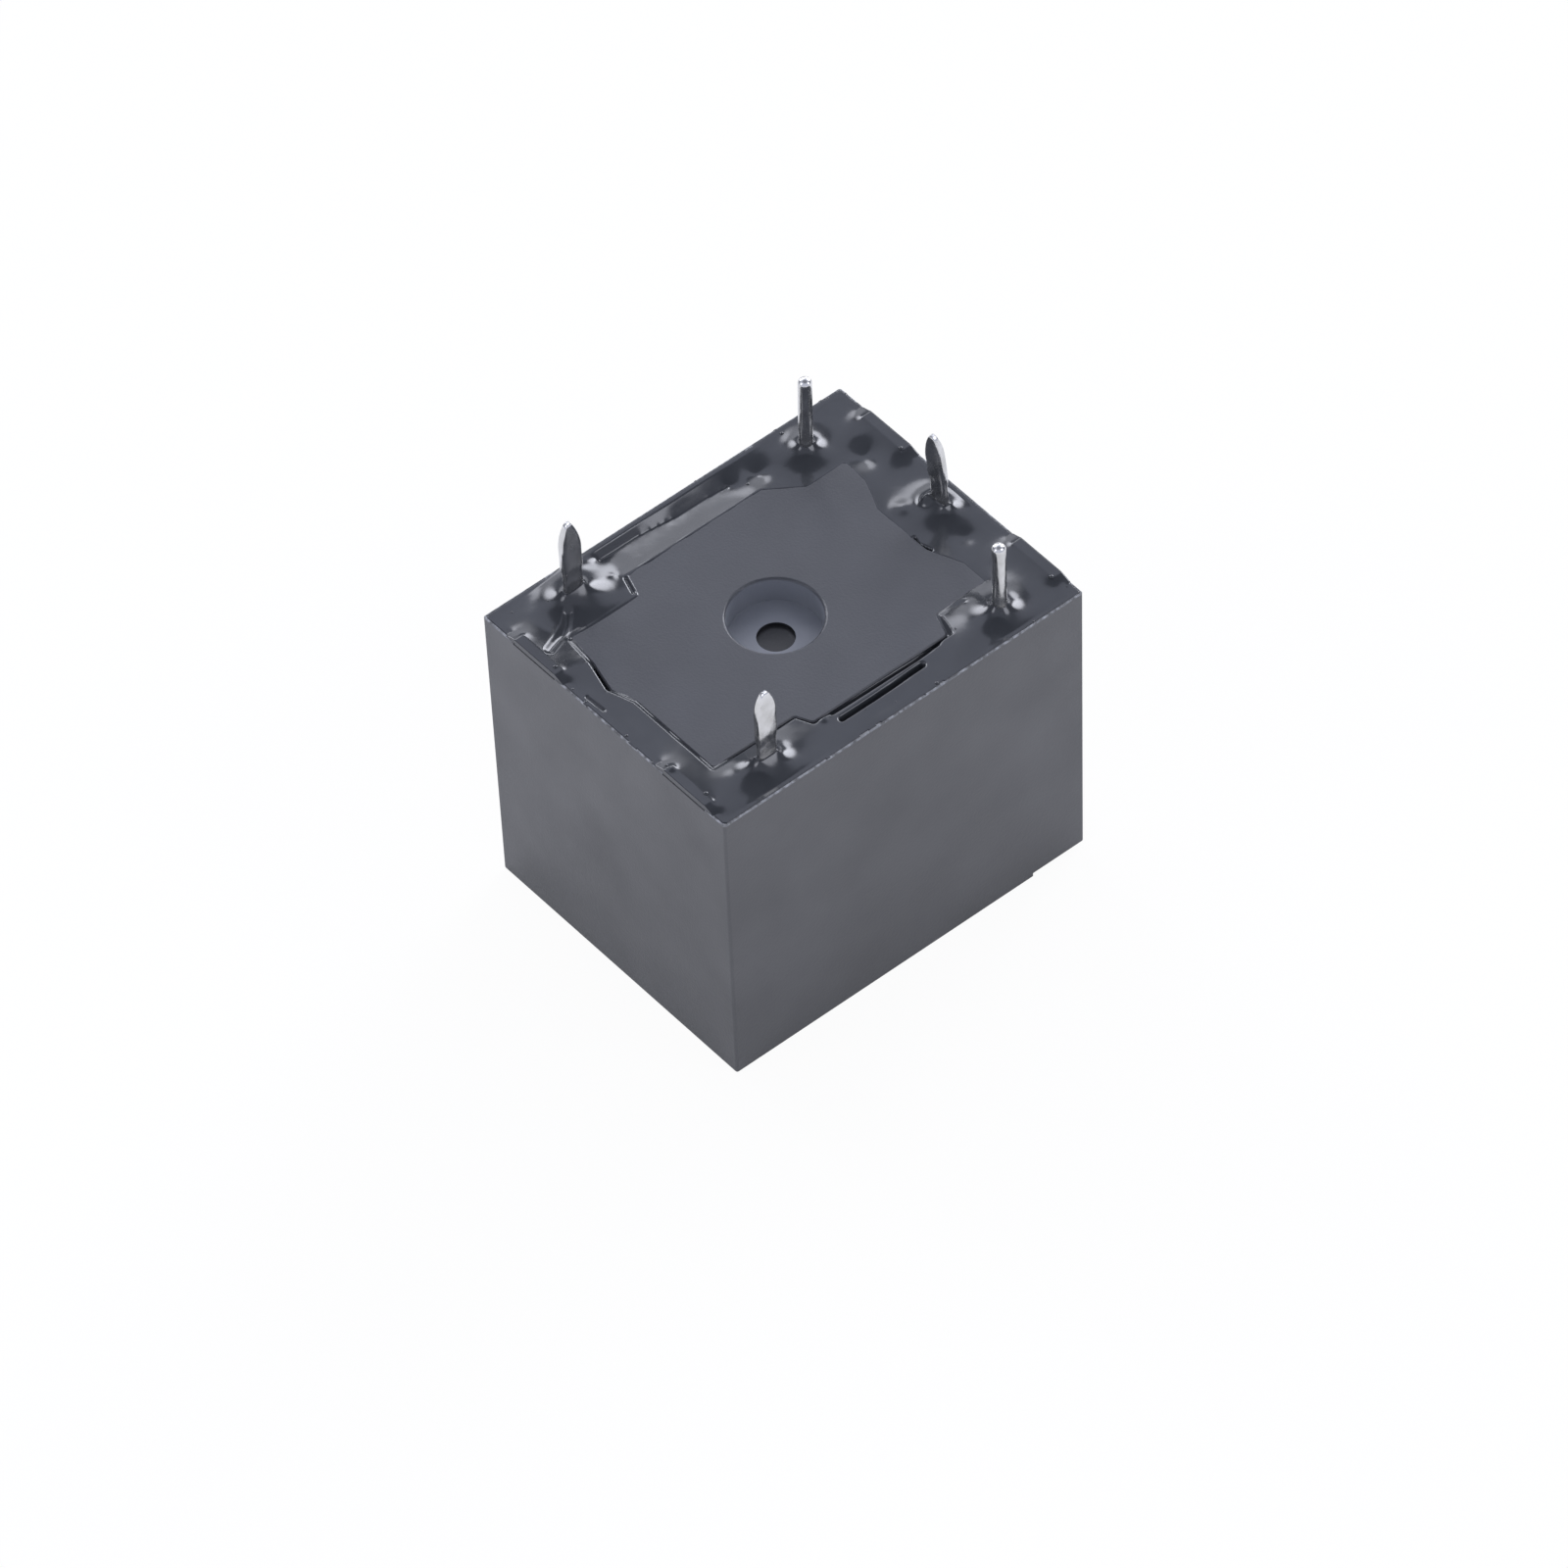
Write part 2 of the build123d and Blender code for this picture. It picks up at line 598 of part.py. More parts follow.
# Each end of the winding leaves it along a tangent and runs past the stub of its pin, under solder
lead_out_r = winding_r + lead_r + wind_slack
lead_pin_r = coil_pin_r + lead_r + bond
for name, side in (("a", 1), ("b", -1)):
    pin_y = footprint_y + side * row_y
    reach = hypot(coil_x - core_x, pin_y)
    leave = side * (degrees(atan2(abs(pin_y), coil_x - core_x) + acos((lead_out_r - lead_pin_r) / reach)))
    out = Vector(cos(radians(leave)), sin(radians(leave)))
    lead_start = Vector(core_x, 0, lead_z) + out * lead_out_r
    lead_run = Vector(coil_x, pin_y, lead_z) + out * lead_pin_r - lead_start
    with BuildPart() as coil_lead:
        with BuildSketch(Plane(origin=lead_start, z_dir=lead_run)):
            Circle(lead_r)
        extrude(amount=lead_run.length)
    coil_lead.part.label = f"coil_lead_{name}"
    export_step(coil_lead.part, f"parts/coil_lead_{name}.step")
    with BuildPart() as solder:
        with BuildSketch(Plane.XY.offset(lead_z - solder_h / 2)):
            with Locations((coil_x, pin_y)):
                Circle(solder_r)
        extrude(amount=solder_h)
        chamfer(edges().filter_by(GeomType.CIRCLE), solder_edge)
        with BuildSketch(Plane.XY.offset(lead_z - solder_h / 2)):
            with Locations((coil_x, pin_y)):
                Circle(coil_pin_r + bond)
        extrude(amount=solder_h, mode=Mode.SUBTRACT)
        add(coil_lead.part, mode=Mode.SUBTRACT)
    solder.part.label = f"solder_{name}"
    export_step(solder.part, f"parts/solder_{name}.step")

# Armature: iron plate with two ears that rock on the yoke's edge, and two bosses staked over the spring
armature_end = flange_far_x + armature_setback - hinge_x
bay_depth = spring_bend_r + bond + spring_t
rivet_centre = core_x - hinge_x
rivet_places = ((rivet_centre - rivet_spread / 2, 0), (rivet_centre + rivet_spread / 2, 0))
with BuildPart() as armature:
    with BuildSketch(hinge_plane.offset(-armature_t)):
        with BuildLine():
            Polyline(
                (armature_end, 0),
                (armature_end, armature_w / 2 - armature_nose),
                (armature_end + armature_nose, armature_w / 2),
                (0, armature_w / 2),
                (0, spring_w / 2 + spring_t),
                (-bay_depth, spring_w / 2 + spring_t),
                (-bay_depth, 0),
            )
            mirror(about=Plane.XZ)
        make_face()
    extrude(amount=armature_t)
    with BuildSketch(hinge_plane.offset(-armature_t)):
        with Locations(*rivet_places):
            Circle(rivet_r)
    extrude(amount=-spring_t)
    with BuildSketch(hinge_plane.offset(-armature_t - spring_t)):
        with Locations(*rivet_places):
            Circle(rivet_head_r)
    extrude(amount=-rivet_head_h)
armature.part.label = "armature"
export_step(armature.part, "parts/armature.step")

# Contact spring: bronze leaf on the armature, bent round to the yoke's back
tip_reach = contact_reach - spring_tip
leaf_tip = (
    hinge_x + tip_reach * cos(turn) + armature_t * sin(turn),
    hinge_z + tip_reach * sin(turn) - armature_t * cos(turn),
)
leaf_corner = (hinge_x, hinge_z - armature_t / cos(turn))
leaf_foot = (hinge_x, stud_z + foot_land)
window_h = 2 * (armature_t + spring_bend_r)
with BuildPart() as contact_spring:
    with BuildSketch(Plane.XZ.offset(-spring_w / 2)):
        with BuildLine():
            leaf_line = FilletPolyline(leaf_tip, leaf_corner, leaf_foot, radius=spring_bend_r)
            offset(leaf_line, amount=spring_t, side=Side.RIGHT)
        make_face()
    extrude(amount=spring_w)
    with BuildSketch(hinge_plane):
        with BuildLine():
            Polyline(
                (tip_reach + spring_neck_w / 2, spring_neck_w / 2),
                (armature_end, spring_neck_w / 2),
                (rivet_centre - rivet_spread / 2, spring_w / 2),
                (foot_land, spring_w / 2),
                (foot_land, 0),
            )
            mirror(about=Plane.XZ)
            ThreePointArc(
                (tip_reach + spring_neck_w / 2, -spring_neck_w / 2),
                (tip_reach, 0),
                (tip_reach + spring_neck_w / 2, spring_neck_w / 2),
            )
        make_face()
    extrude(amount=height, both=True, mode=Mode.INTERSECT)
    with BuildSketch(hinge_plane.offset(-armature_t - spring_t)):
        with Locations((contact_reach, 0)):
            Circle(contact_shank_r + shank_slack)
        with Locations(*rivet_places):
            Circle(rivet_r + rivet_slack)
    extrude(amount=spring_t, mode=Mode.SUBTRACT)
    with BuildSketch(Plane.YZ.offset(hinge_x)):
        with Locations(*stud_places):
            Circle(rivet_r + rivet_slack)
    extrude(amount=spring_t, mode=Mode.SUBTRACT)
    with BuildSketch(Plane.YZ.offset(hinge_x + spring_t)):
        with Locations((0, hinge_z)):
            SlotOverall(window_h, window_w, rotation=90)
    extrude(amount=-bay_depth - spring_t, mode=Mode.SUBTRACT)
contact_spring.part.label = "contact_spring"
export_step(contact_spring.part, "parts/contact_spring.step")

# Moving contact: silver rivet with a domed head on each side of the spring
contact_plane = Plane(
    origin=hinge_plane.from_local_coords((contact_reach, 0, 0)),
    x_dir=hinge_plane.x_dir,
    z_dir=(0, -1, 0),
)
upper_seat = -armature_t
lower_seat = -armature_t - spring_t
dome_ball_r = (moving_contact_r**2 + moving_contact_dome**2) / (2 * moving_contact_dome)
dome_half_drop = dome_ball_r - sqrt(dome_ball_r**2 - moving_contact_r**2 / 4)
with BuildPart() as moving_contact:
    with BuildSketch(contact_plane):
        with BuildLine():
            Polyline(
                (0, lower_seat - contact_h),
                (0, upper_seat + contact_h),
            )
            ThreePointArc(
                (0, upper_seat + contact_h),
                (moving_contact_r / 2, upper_seat + contact_h - dome_half_drop),
                (moving_contact_r, upper_seat + contact_h - moving_contact_dome),
            )
            Polyline(
                (moving_contact_r, upper_seat + contact_h - moving_contact_dome),
                (moving_contact_r, upper_seat),
                (contact_shank_r, upper_seat),
                (contact_shank_r, lower_seat),
                (moving_contact_r, lower_seat),
                (moving_contact_r, lower_seat - contact_h + moving_contact_dome),
            )
            ThreePointArc(
                (moving_contact_r, lower_seat - contact_h + moving_contact_dome),
                (moving_contact_r / 2, lower_seat - contact_h + dome_half_drop),
                (0, lower_seat - contact_h),
            )
        make_face()
    revolve(axis=Axis(contact_plane.origin, contact_plane.y_dir))
moving_contact.part.label = "moving_contact"
export_step(moving_contact.part, "parts/moving_contact.step")

# Fixed contacts: silver rivets, headed over behind their arms
for name, face_z, up in (("nc_contact", nc_face_z, -1), ("no_contact", no_face_z, 1)):
    with BuildPart() as fixed_contact:
        with BuildSketch(Plane(origin=(contact_x, footprint_y, face_z), x_dir=(1, 0, 0), z_dir=(0, -1, 0))):
            with BuildLine():
                Polyline(
                    (0, 0),
                    (contact_r - contact_edge, 0),
                    (contact_r, up * contact_edge),
                    (contact_r, up * contact_h),
                    (contact_shank_r, up * contact_h),
                    (contact_shank_r, up * (contact_h + blade_t)),
                    (contact_tail_r, up * (contact_h + blade_t)),
                    (contact_tail_r - contact_edge, up * (contact_h + blade_t + contact_tail_h)),
                    (0, up * (contact_h + blade_t + contact_tail_h)),
                    close=True,
                )
            make_face()
        revolve(axis=Axis((contact_x, footprint_y, 0), (0, 0, 1)))
    fixed_contact.part.label = name
    export_step(fixed_contact.part, f"parts/{name}.step")

# Contact terminals: bent copper strips that narrow to pointed blades
for name, side, arm_z in (("nc_terminal", 1, nc_arm_z), ("no_terminal", -1, no_arm_z)):
    blade_y = footprint_y + side * row_y
    arm_end_y = footprint_y - side * strip_w / 2
    with BuildPart() as terminal:
        with BuildSketch(Plane.YZ.offset(contact_x - strip_w / 2)):
            with BuildLine():
                Polyline(
                    (arm_end_y, arm_z),
                    (blade_y + side * blade_t / 2, arm_z),
                    (blade_y + side * blade_t / 2, blade_tip_z),
                    (blade_y - side * blade_t / 2, blade_tip_z),
                    (blade_y - side * blade_t / 2, arm_z + blade_t),
                    (arm_end_y, arm_z + blade_t),
                    close=True,
                )
            make_face()
        extrude(amount=strip_w)
        bends = edges().filter_by(Axis.X)
        outer_corner = (contact_x, blade_y + side * blade_t / 2, arm_z)
        fillet(bends.sort_by_distance(outer_corner)[0], strip_bend_r + blade_t)
        bends = edges().filter_by(Axis.X)
        inner_corner = (contact_x, blade_y - side * blade_t / 2, arm_z + blade_t)
        fillet(bends.sort_by_distance(inner_corner)[0], strip_bend_r)
        corners = edges().filter_by(Axis.Z).sort_by_distance((contact_x, arm_end_y, arm_z))[0:2]
        fillet(corners, strip_w / 2 - contact_edge)
        with BuildSketch(Plane(origin=(contact_x, width / 2, 0), x_dir=(1, 0, 0), z_dir=(0, -1, 0))):
            with BuildLine():
                Polyline(
                    (-blade_w / 2, point_z),
                    (-blade_w / 2, shoulder_z),
                    (-strip_w / 2, shoulder_z - strip_shoulder),
                    (-strip_w / 2, arm_z),
                    (strip_w / 2, arm_z),
                    (strip_w / 2, shoulder_z - strip_shoulder),
                    (blade_w / 2, shoulder_z),
                    (blade_w / 2, point_z),
                )
                blade_end(0)
            make_face()
        extrude(amount=width, mode=Mode.INTERSECT)
        with BuildSketch(Plane.XY.offset(arm_z)):
            with Locations((contact_x, footprint_y)):
                Circle(contact_shank_r + shank_slack)
        extrude(amount=blade_t, mode=Mode.SUBTRACT)
    terminal.part.label = name
    export_step(terminal.part, f"parts/{name}.step")

# Common terminal: plate on the yoke's back, held by the studs, with its blade between the coil pins
with BuildPart() as com_terminal:
    with BuildSketch(Plane.YZ.offset(hinge_x + spring_t)):
        with BuildLine():
            Polyline(
                (footprint_y - blade_w / 2, point_z),
                (footprint_y - blade_w / 2, stud_z + com_plate_top + strip_shoulder),
                (-com_plate_w / 2, stud_z + com_plate_top),
                (-com_plate_w / 2, stud_z - foot_land),
                (com_plate_w / 2, stud_z - foot_land),
                (com_plate_w / 2, stud_z + com_plate_top),
                (footprint_y + blade_w / 2, stud_z + com_plate_top + strip_shoulder),
                (footprint_y + blade_w / 2, point_z),
            )
            blade_end(footprint_y)
        make_face()
        with Locations(*stud_places):
            Circle(rivet_r + rivet_slack, mode=Mode.SUBTRACT)
    extrude(amount=blade_t)
com_terminal.part.label = "com_terminal"
export_step(com_terminal.part, "parts/com_terminal.step")
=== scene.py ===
from math import cos, pi, radians, sin

import bmesh
import bpy
import numpy as np
from mathutils import Matrix, Vector


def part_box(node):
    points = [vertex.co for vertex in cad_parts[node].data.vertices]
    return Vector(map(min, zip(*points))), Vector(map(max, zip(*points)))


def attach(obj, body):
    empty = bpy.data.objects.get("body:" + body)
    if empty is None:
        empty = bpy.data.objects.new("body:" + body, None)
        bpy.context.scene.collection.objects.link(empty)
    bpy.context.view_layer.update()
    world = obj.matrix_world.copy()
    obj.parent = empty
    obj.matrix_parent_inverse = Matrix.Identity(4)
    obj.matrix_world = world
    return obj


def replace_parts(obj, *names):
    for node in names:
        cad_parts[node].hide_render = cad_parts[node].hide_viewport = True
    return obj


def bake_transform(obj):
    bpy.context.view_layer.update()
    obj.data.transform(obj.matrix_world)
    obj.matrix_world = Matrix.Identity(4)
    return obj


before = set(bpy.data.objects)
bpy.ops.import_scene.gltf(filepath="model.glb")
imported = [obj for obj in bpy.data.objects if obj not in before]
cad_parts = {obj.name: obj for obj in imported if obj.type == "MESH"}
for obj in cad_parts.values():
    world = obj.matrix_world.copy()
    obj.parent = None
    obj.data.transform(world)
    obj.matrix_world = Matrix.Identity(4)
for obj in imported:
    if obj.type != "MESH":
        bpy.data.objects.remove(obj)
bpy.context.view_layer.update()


# Cover: a box open at the pin side, moulded in one shot of glass-filled PBT and pushed over the base.
# The mould was spark-eroded, so the plastic is matt, with a fine even grain. A paler, patchy band at the
# rim is a painted highlight along its edge.
mm = 0.001
height = 15.3  # of the rim above the closed face
half_x = 9.4  # half the cover's length and width at the rim
half_y = 7.525
highlight_start = 0.075  # the painted rim highlight fades in from this far below the rim
highlight_full = 0.03


def linear(hex_colour):
    """A colour written as sRGB hex, as the linear RGBA that a shader takes."""
    channels = [int(hex_colour[i : i + 2], 16) / 255 for i in (1, 3, 5)]
    return (*[c / 12.92 if c <= 0.04045 else ((c + 0.055) / 1.055) ** 2.4 for c in channels], 1.0)


def add(tree, kind, settings):
    """Adds a node with its settings: attributes, values of inputs, and nodes or sockets to link to them."""
    made = tree.nodes.new("ShaderNode" + kind)
    for name, value in settings.items():
        if isinstance(value, bpy.types.Node):
            value = next(socket for socket in value.outputs if socket.enabled)
        if isinstance(name, str) and hasattr(made, name):
            setattr(made, name, value)
        elif isinstance(value, bpy.types.NodeSocket):
            tree.links.new(value, made.inputs[name])
        else:
            made.inputs[name].default_value = value
    return made


def clouds(tree, size_mm, low, high, detail=2.0, stretch=(1, 1, 1)):
    """Soft random patches of about size_mm in the piece's own space, as a value from low to high."""
    place = add(tree, "TexCoord", {}).outputs["Object"]
    scaled = add(tree, "VectorMath", {"operation": "MULTIPLY", 0: place, 1: stretch})
    patches = add(tree, "TexNoise", {"Vector": scaled, "Scale": 1 / (size_mm * mm), "Detail": detail})
    most_of_it = {"Value": patches, "From Min": 0.3, "From Max": 0.7}  # noise seldom leaves this range
    return add(tree, "MapRange", most_of_it | {"To Min": low, "To Max": high})


def finish(name, tree_of):
    """A material whose surface is what tree_of returns from its empty node tree."""
    made = bpy.data.materials.new(name)
    made.use_nodes = True
    made.node_tree.nodes.clear()
    add(made.node_tree, "OutputMaterial", {"Surface": tree_of(made.node_tree)})
    return made


def wear(piece, material):
    """Gives a CAD node's own object its material."""
    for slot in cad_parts[piece].material_slots:
        slot.material = material


smooth = {"interpolation_type": "SMOOTHSTEP"}  # for a MapRange without hard edges
colours = {"data_type": "RGBA"}  # for a Mix of two colours
one, other = 6, 7  # the numbers of its two colour inputs
grain_mm = 0.11  # real grain is about 0.03 mm, drawn coarser so that it shows


def matt_pbt(tree):
    tint = clouds(tree, 4.0, 0.0, 0.5)
    colour = add(tree, "Mix", colours | {"Factor": tint, one: linear("#4a4a4a"), other: linear("#565656")})
    place = add(tree, "TexCoord", {}).outputs["Object"]
    up = add(tree, "SeparateXYZ", {"Vector": place}).outputs["Z"]
    # painted highlight: a paler, patchy band just under the rim stands for the light along its edge
    near_rim = {"Value": up, "From Min": (height - highlight_start) * mm, "From Max": (height - highlight_full) * mm}
    at_rim = add(tree, "MapRange", smooth | near_rim)
    rim_highlight = add(tree, "Math", {"operation": "MULTIPLY", 0: at_rim, 1: clouds(tree, 0.25, -0.2, 0.85, 3.0)})
    colour = add(tree, "Mix", colours | {"Factor": rim_highlight, one: colour, other: linear("#a6a8ab")})
    bump = add(tree, "Bump", {"Height": clouds(tree, grain_mm, 0.0, 1.0, 1.0), "Distance": 0.0035 * mm})
    settings = {"Base Color": colour, "Roughness": clouds(tree, 2.5, 0.40, 0.48), "IOR": 1.57}
    return add(tree, "BsdfPrincipled", settings | {"Normal": bump})


wear("cover", finish("matt_pbt_cover", matt_pbt))


# Base: a moulded plate that closes the cover, with an island, a dam, four feet and walls for the contacts.
# It is PBT from a smoother mould, a little glossier. The dish round the gate is painted paler, as painted
# light against the shade in it, and the dimple where the gate broke off is painted near black, as painted
# shade.
island_z = 15.15
bed_z = 14.35  # the plate between the island and the cover
gate = Vector((-0.55, -0.15, 0)) * mm
gate_r = 2.0  # of the dish round the gate
gate_floor_z = 13.88
falling = {"To Min": 1.0, "To Max": 0.0}  # for a MapRange that falls from 1 to 0


def semi_matt_pbt(tree):
    tint = clouds(tree, 3.0, 0.0, 0.5)
    colour = add(tree, "Mix", colours | {"Factor": tint, one: linear("#282a2f"), other: linear("#33353a")})
    place = add(tree, "TexCoord", {}).outputs["Object"]
    from_gate = add(tree, "VectorMath", {"operation": "SUBTRACT", 0: place, 1: gate})
    flat = add(tree, "VectorMath", {"operation": "MULTIPLY", 0: from_gate, 1: (1, 1, 0)})
    away = add(tree, "VectorMath", {"operation": "LENGTH", 0: flat})
    up = add(tree, "SeparateXYZ", {"Vector": place}).outputs["Z"]
    wall_fade = {"Value": away, "From Min": gate_r * mm, "From Max": (gate_r + 0.04) * mm}
    within_wall = add(tree, "MapRange", falling | wall_fade)
    top_fade = {"Value": up, "From Min": (island_z - 0.15) * mm, "From Max": (island_z - 0.02) * mm}
    below_top = add(tree, "MapRange", falling | top_fade)
    floor_fade = {
        "Value": up,
        "From Min": (gate_floor_z - 0.04) * mm,
        "From Max": (gate_floor_z - 0.005) * mm,
    }
    below_floor = add(tree, "MapRange", smooth | falling | floor_fade)
    dish_painted_light = add(tree, "Math", {"operation": "MULTIPLY", 0: within_wall, 1: below_top})
    dimple_painted_shade = add(tree, "Math", {"operation": "MULTIPLY", 0: dish_painted_light, 1: below_floor})
    # painted light: the dish round the gate is painted paler than the plate, to lift the shade in it
    colour = add(tree, "Mix", colours | {"Factor": dish_painted_light, one: colour, other: linear("#76797f")})
    # painted shade: the dimple in the dish's floor is painted near black
    colour = add(tree, "Mix", colours | {"Factor": dimple_painted_shade, one: colour, other: linear("#151618")})
    bump = add(tree, "Bump", {"Height": clouds(tree, grain_mm, 0.0, 1.0, 1.0), "Distance": 0.002 * mm})
    settings = {"Base Color": colour, "Roughness": clouds(tree, 2.0, 0.38, 0.46), "IOR": 1.57}
    return add(tree, "BsdfPrincipled", settings | {"Normal": bump})


wear("base", finish("semi_matt_pbt_base", semi_matt_pbt))


# Seal: black epoxy that is poured between the rim and the island, wets what it touches and cures glossy.
# Its surface is worked out as the liquid stood: pinned at rim, island and feet, and drawn up at the pins.
island_outline = np.array(
    [
        (-7.65, -4.775), (-3.45, -4.775), (-3.1, -5.525), (3.95, -5.525), (4.3, -4.425), (7.0, -4.425),
        (7.0, -3.0), (6.35, -1.45), (6.35, 1.5), (7.0, 3.05), (7.0, 4.425), (4.95, 4.425), (3.45, 5.525),
        (-3.65, 5.525), (-4.0, 4.425), (-7.45, 4.425), (-7.65, 2.7), (-8.03, 1.15), (-7.65, 0.0),
    ]
)
rim_half_x = 9.105  # inside of the rim
rim_half_y = 7.23
rim_corner_r = 0.35
edge_corner_r = 0.2  # outside of the cover
footprint_y = -0.1  # middle line of the pins
row_y = 6.0  # from it to each outer row
coil_x = 6.22
com_x = 8.22
contact_x = -5.98
coil_r = 0.3
blade_w = 1.0
blade_t = 0.4
foot_z = 15.47
foot_ys = (4.3, -5.0)
foot_half = 1.27  # half its length along Y
foot_inner_x = 8.93
foot_reach = 0.5  # the film on the rim rises to a foot over this length
step = 0.05  # grid of the surface
edge_gap = 0.025  # between the grid's outermost points and the cover's sides
capillary = 2.0  # length over which the epoxy levels out
rim_film = 0.014  # thickness left on the rim
foot_film = 0.024
edge_film = 0.006  # on the island's edge
shoulder = 0.24  # the full pour stands over the island's edge and falls to it over this length
ditch = 0.1  # shrinkage opened a ditch of this depth along the island's edge
full_z = 15.3  # level where the pour was full, towards -X and -Y
low_z = 14.45  # what the shrinking epoxy was drawn to, towards +X and +Y
near_drop = 0.27  # it pulled the level at the pins down by this much there
climb = 0.62  # at the pins
crease_z = 14.95
overlap = 0.3  # the mesh goes this far into the island, out of sight

xs = np.arange(-half_x + edge_gap, half_x - edge_gap + 0.001, step)
ys = np.arange(-half_y + edge_gap, half_y - edge_gap + 0.001, step)
X, Y = np.meshgrid(xs, ys, indexing="ij")  # place of each point of the grid, in millimetres


def near_line(points):
    """Distance over the grid from an open run of points."""
    nearest = np.full(X.shape, 1e9)
    for (ax, ay), (bx, by) in zip(points[:-1], points[1:]):
        along = ((X - ax) * (bx - ax) + (Y - ay) * (by - ay)) / ((bx - ax) ** 2 + (by - ay) ** 2)
        along = np.clip(along, 0, 1)
        nearest = np.minimum(nearest, np.hypot(X - ax - along * (bx - ax), Y - ay - along * (by - ay)))
    return nearest


def outline_distance(points):
    """Signed distance from a closed outline, positive outside it, over the grid."""
    nearest = near_line([*points, points[0]])
    inside = np.zeros(X.shape, bool)
    for (ax, ay), (bx, by) in zip(points, np.roll(points, -1, 0)):
        if ay != by:
            inside ^= ((Y < ay) != (Y < by)) & (X < (bx - ax) * (Y - ay) / (by - ay) + ax)
    return np.where(inside, -nearest, nearest)


def inside_box(box_x, box_y, corner_r):
    """How far each point of the grid lies inside a box with round corners."""
    over_x = np.abs(X) - box_x + corner_r
    over_y = np.abs(Y) - box_y + corner_r
    beyond = np.hypot(np.maximum(over_x, 0), np.maximum(over_y, 0))
    return corner_r - beyond - np.minimum(np.maximum(over_x, over_y), 0)


def ripple(size_mm, seed):
    """Smooth random values of about -1 to 1 over the grid, with patches of size_mm."""
    coarse = np.random.default_rng(seed).normal(size=(80, 80))
    u, v = (X + 10) / size_mm + 3, (Y + 10) / size_mm + 3
    i, j = u.astype(int) % 76, v.astype(int) % 76
    s, t = u % 1, v % 1
    s, t = s * s * (3 - 2 * s), t * t * (3 - 2 * t)
    near = coarse[i, j] * (1 - s) + coarse[i + 1, j] * s
    far = coarse[i, j + 1] * (1 - s) + coarse[i + 1, j + 1] * s
    return near * (1 - t) + far * t


def soft_step(values, start, end):
    """0 before start and 1 after end, smooth between."""
    share = np.clip((values - start) / (end - start), 0, 1)
    return share * share * (3 - 2 * share)


def mound(x, y, r):
    """A soft round mound of height 1 over the grid."""
    return np.exp(-2 * ((X - x) ** 2 + (Y - y) ** 2) / r**2)


from_island = outline_distance(island_outline)
to_rim = inside_box(rim_half_x, rim_half_y, rim_corner_r)
to_edge = inside_box(half_x, half_y, edge_corner_r)

# The pour stayed full towards -X and -Y, where shrink is 0, and sank towards +X and +Y, where it is 1
shrink = soft_step(0.6 * X + 0.8 * Y, -4, 6)
rest_z = full_z + (low_z - full_z) * shrink
level_near = full_z - near_drop * shrink

surface = level_near.copy()
held = np.zeros(X.shape, bool)


def hold(where, value):
    """Pins the surface at a height where the epoxy touches something."""
    held[where] = True
    surface[where] = np.broadcast_to(value, X.shape)[where]


# Beside the island a ditch opened on the full sides, shallower along -X from the nose to the front corner.
# It stayed closed in three places: at the nose, the front corner and the corner near the left blade
island_edge = island_z + edge_film
fullness = 1 - soft_step(shrink, 0.05, 0.3)
closed = np.clip(mound(-7.85, 0.55, 1.4) + mound(-7.3, -4.6, 0.85) + mound(-7.5, 3.7, 1.1), 0, 1)
shallower = 0.55 * soft_step(-X, 7.2, 7.5) * soft_step(-Y, -0.4, 0.2)
opened = fullness * (1 - closed) * (1 - shallower)
hold(from_island <= step / 2, island_edge + edge_film * ripple(0.7, 7) - ditch * opened)

# Further in, the sheet dives under the island's top, out of sight
surface += np.where(from_island <= step / 2, -0.5 * np.clip(-from_island - 0.06, 0, 1), 0)

# A thin film lies on the rim and on the tops of the feet
beside_foot = np.full(X.shape, 1e9)
for y in foot_ys:
    across = np.maximum(np.abs(Y - y) - foot_half, 0)
    beside_foot = np.minimum(beside_foot, np.hypot(across, np.maximum(foot_inner_x - np.abs(X), 0)))
hold((to_rim <= 0) & (beside_foot > foot_reach), height + rim_film)
hold(beside_foot < step / 2, foot_z + foot_film)

# From the ditch the full pour rises to a brim, which is a little higher towards the feet
brim_z = island_edge + fullness * (full_z - island_z + 0.09 * (1 - soft_step(beside_foot, 0.3, 1.8)))
rise = soft_step(from_island, 0, shoulder)
low_side = island_edge - ditch * opened
hold((from_island > 0) & (from_island <= shoulder) & (fullness > 0), low_side + (brim_z - low_side) * rise)

# Behind the island a skin set early, and the epoxy that sank round it hangs from its crease
crease = [(-3.8, 6.95), (-2.2, 6.95), (-1.4, 6.9), (-0.1, 6.72), (1.4, 6.7), (2.6, 6.6)]
hold(near_line(crease) < step * 0.6, crease_z)

# It climbs each pin, and is held where it touches
blades = [((com_x, footprint_y), (blade_t, blade_w))]
blades += [((contact_x, footprint_y + side * row_y), (blade_w, blade_t)) for side in (1, -1)]
for (x, y), (across_x, across_y) in blades:
    hold((np.abs(X - x) <= across_x / 2) & (np.abs(Y - y) <= across_y / 2), level_near + climb)
for side in (1, -1):
    hold(np.hypot(X - coil_x, Y - footprint_y - side * row_y) <= coil_r, level_near + climb)

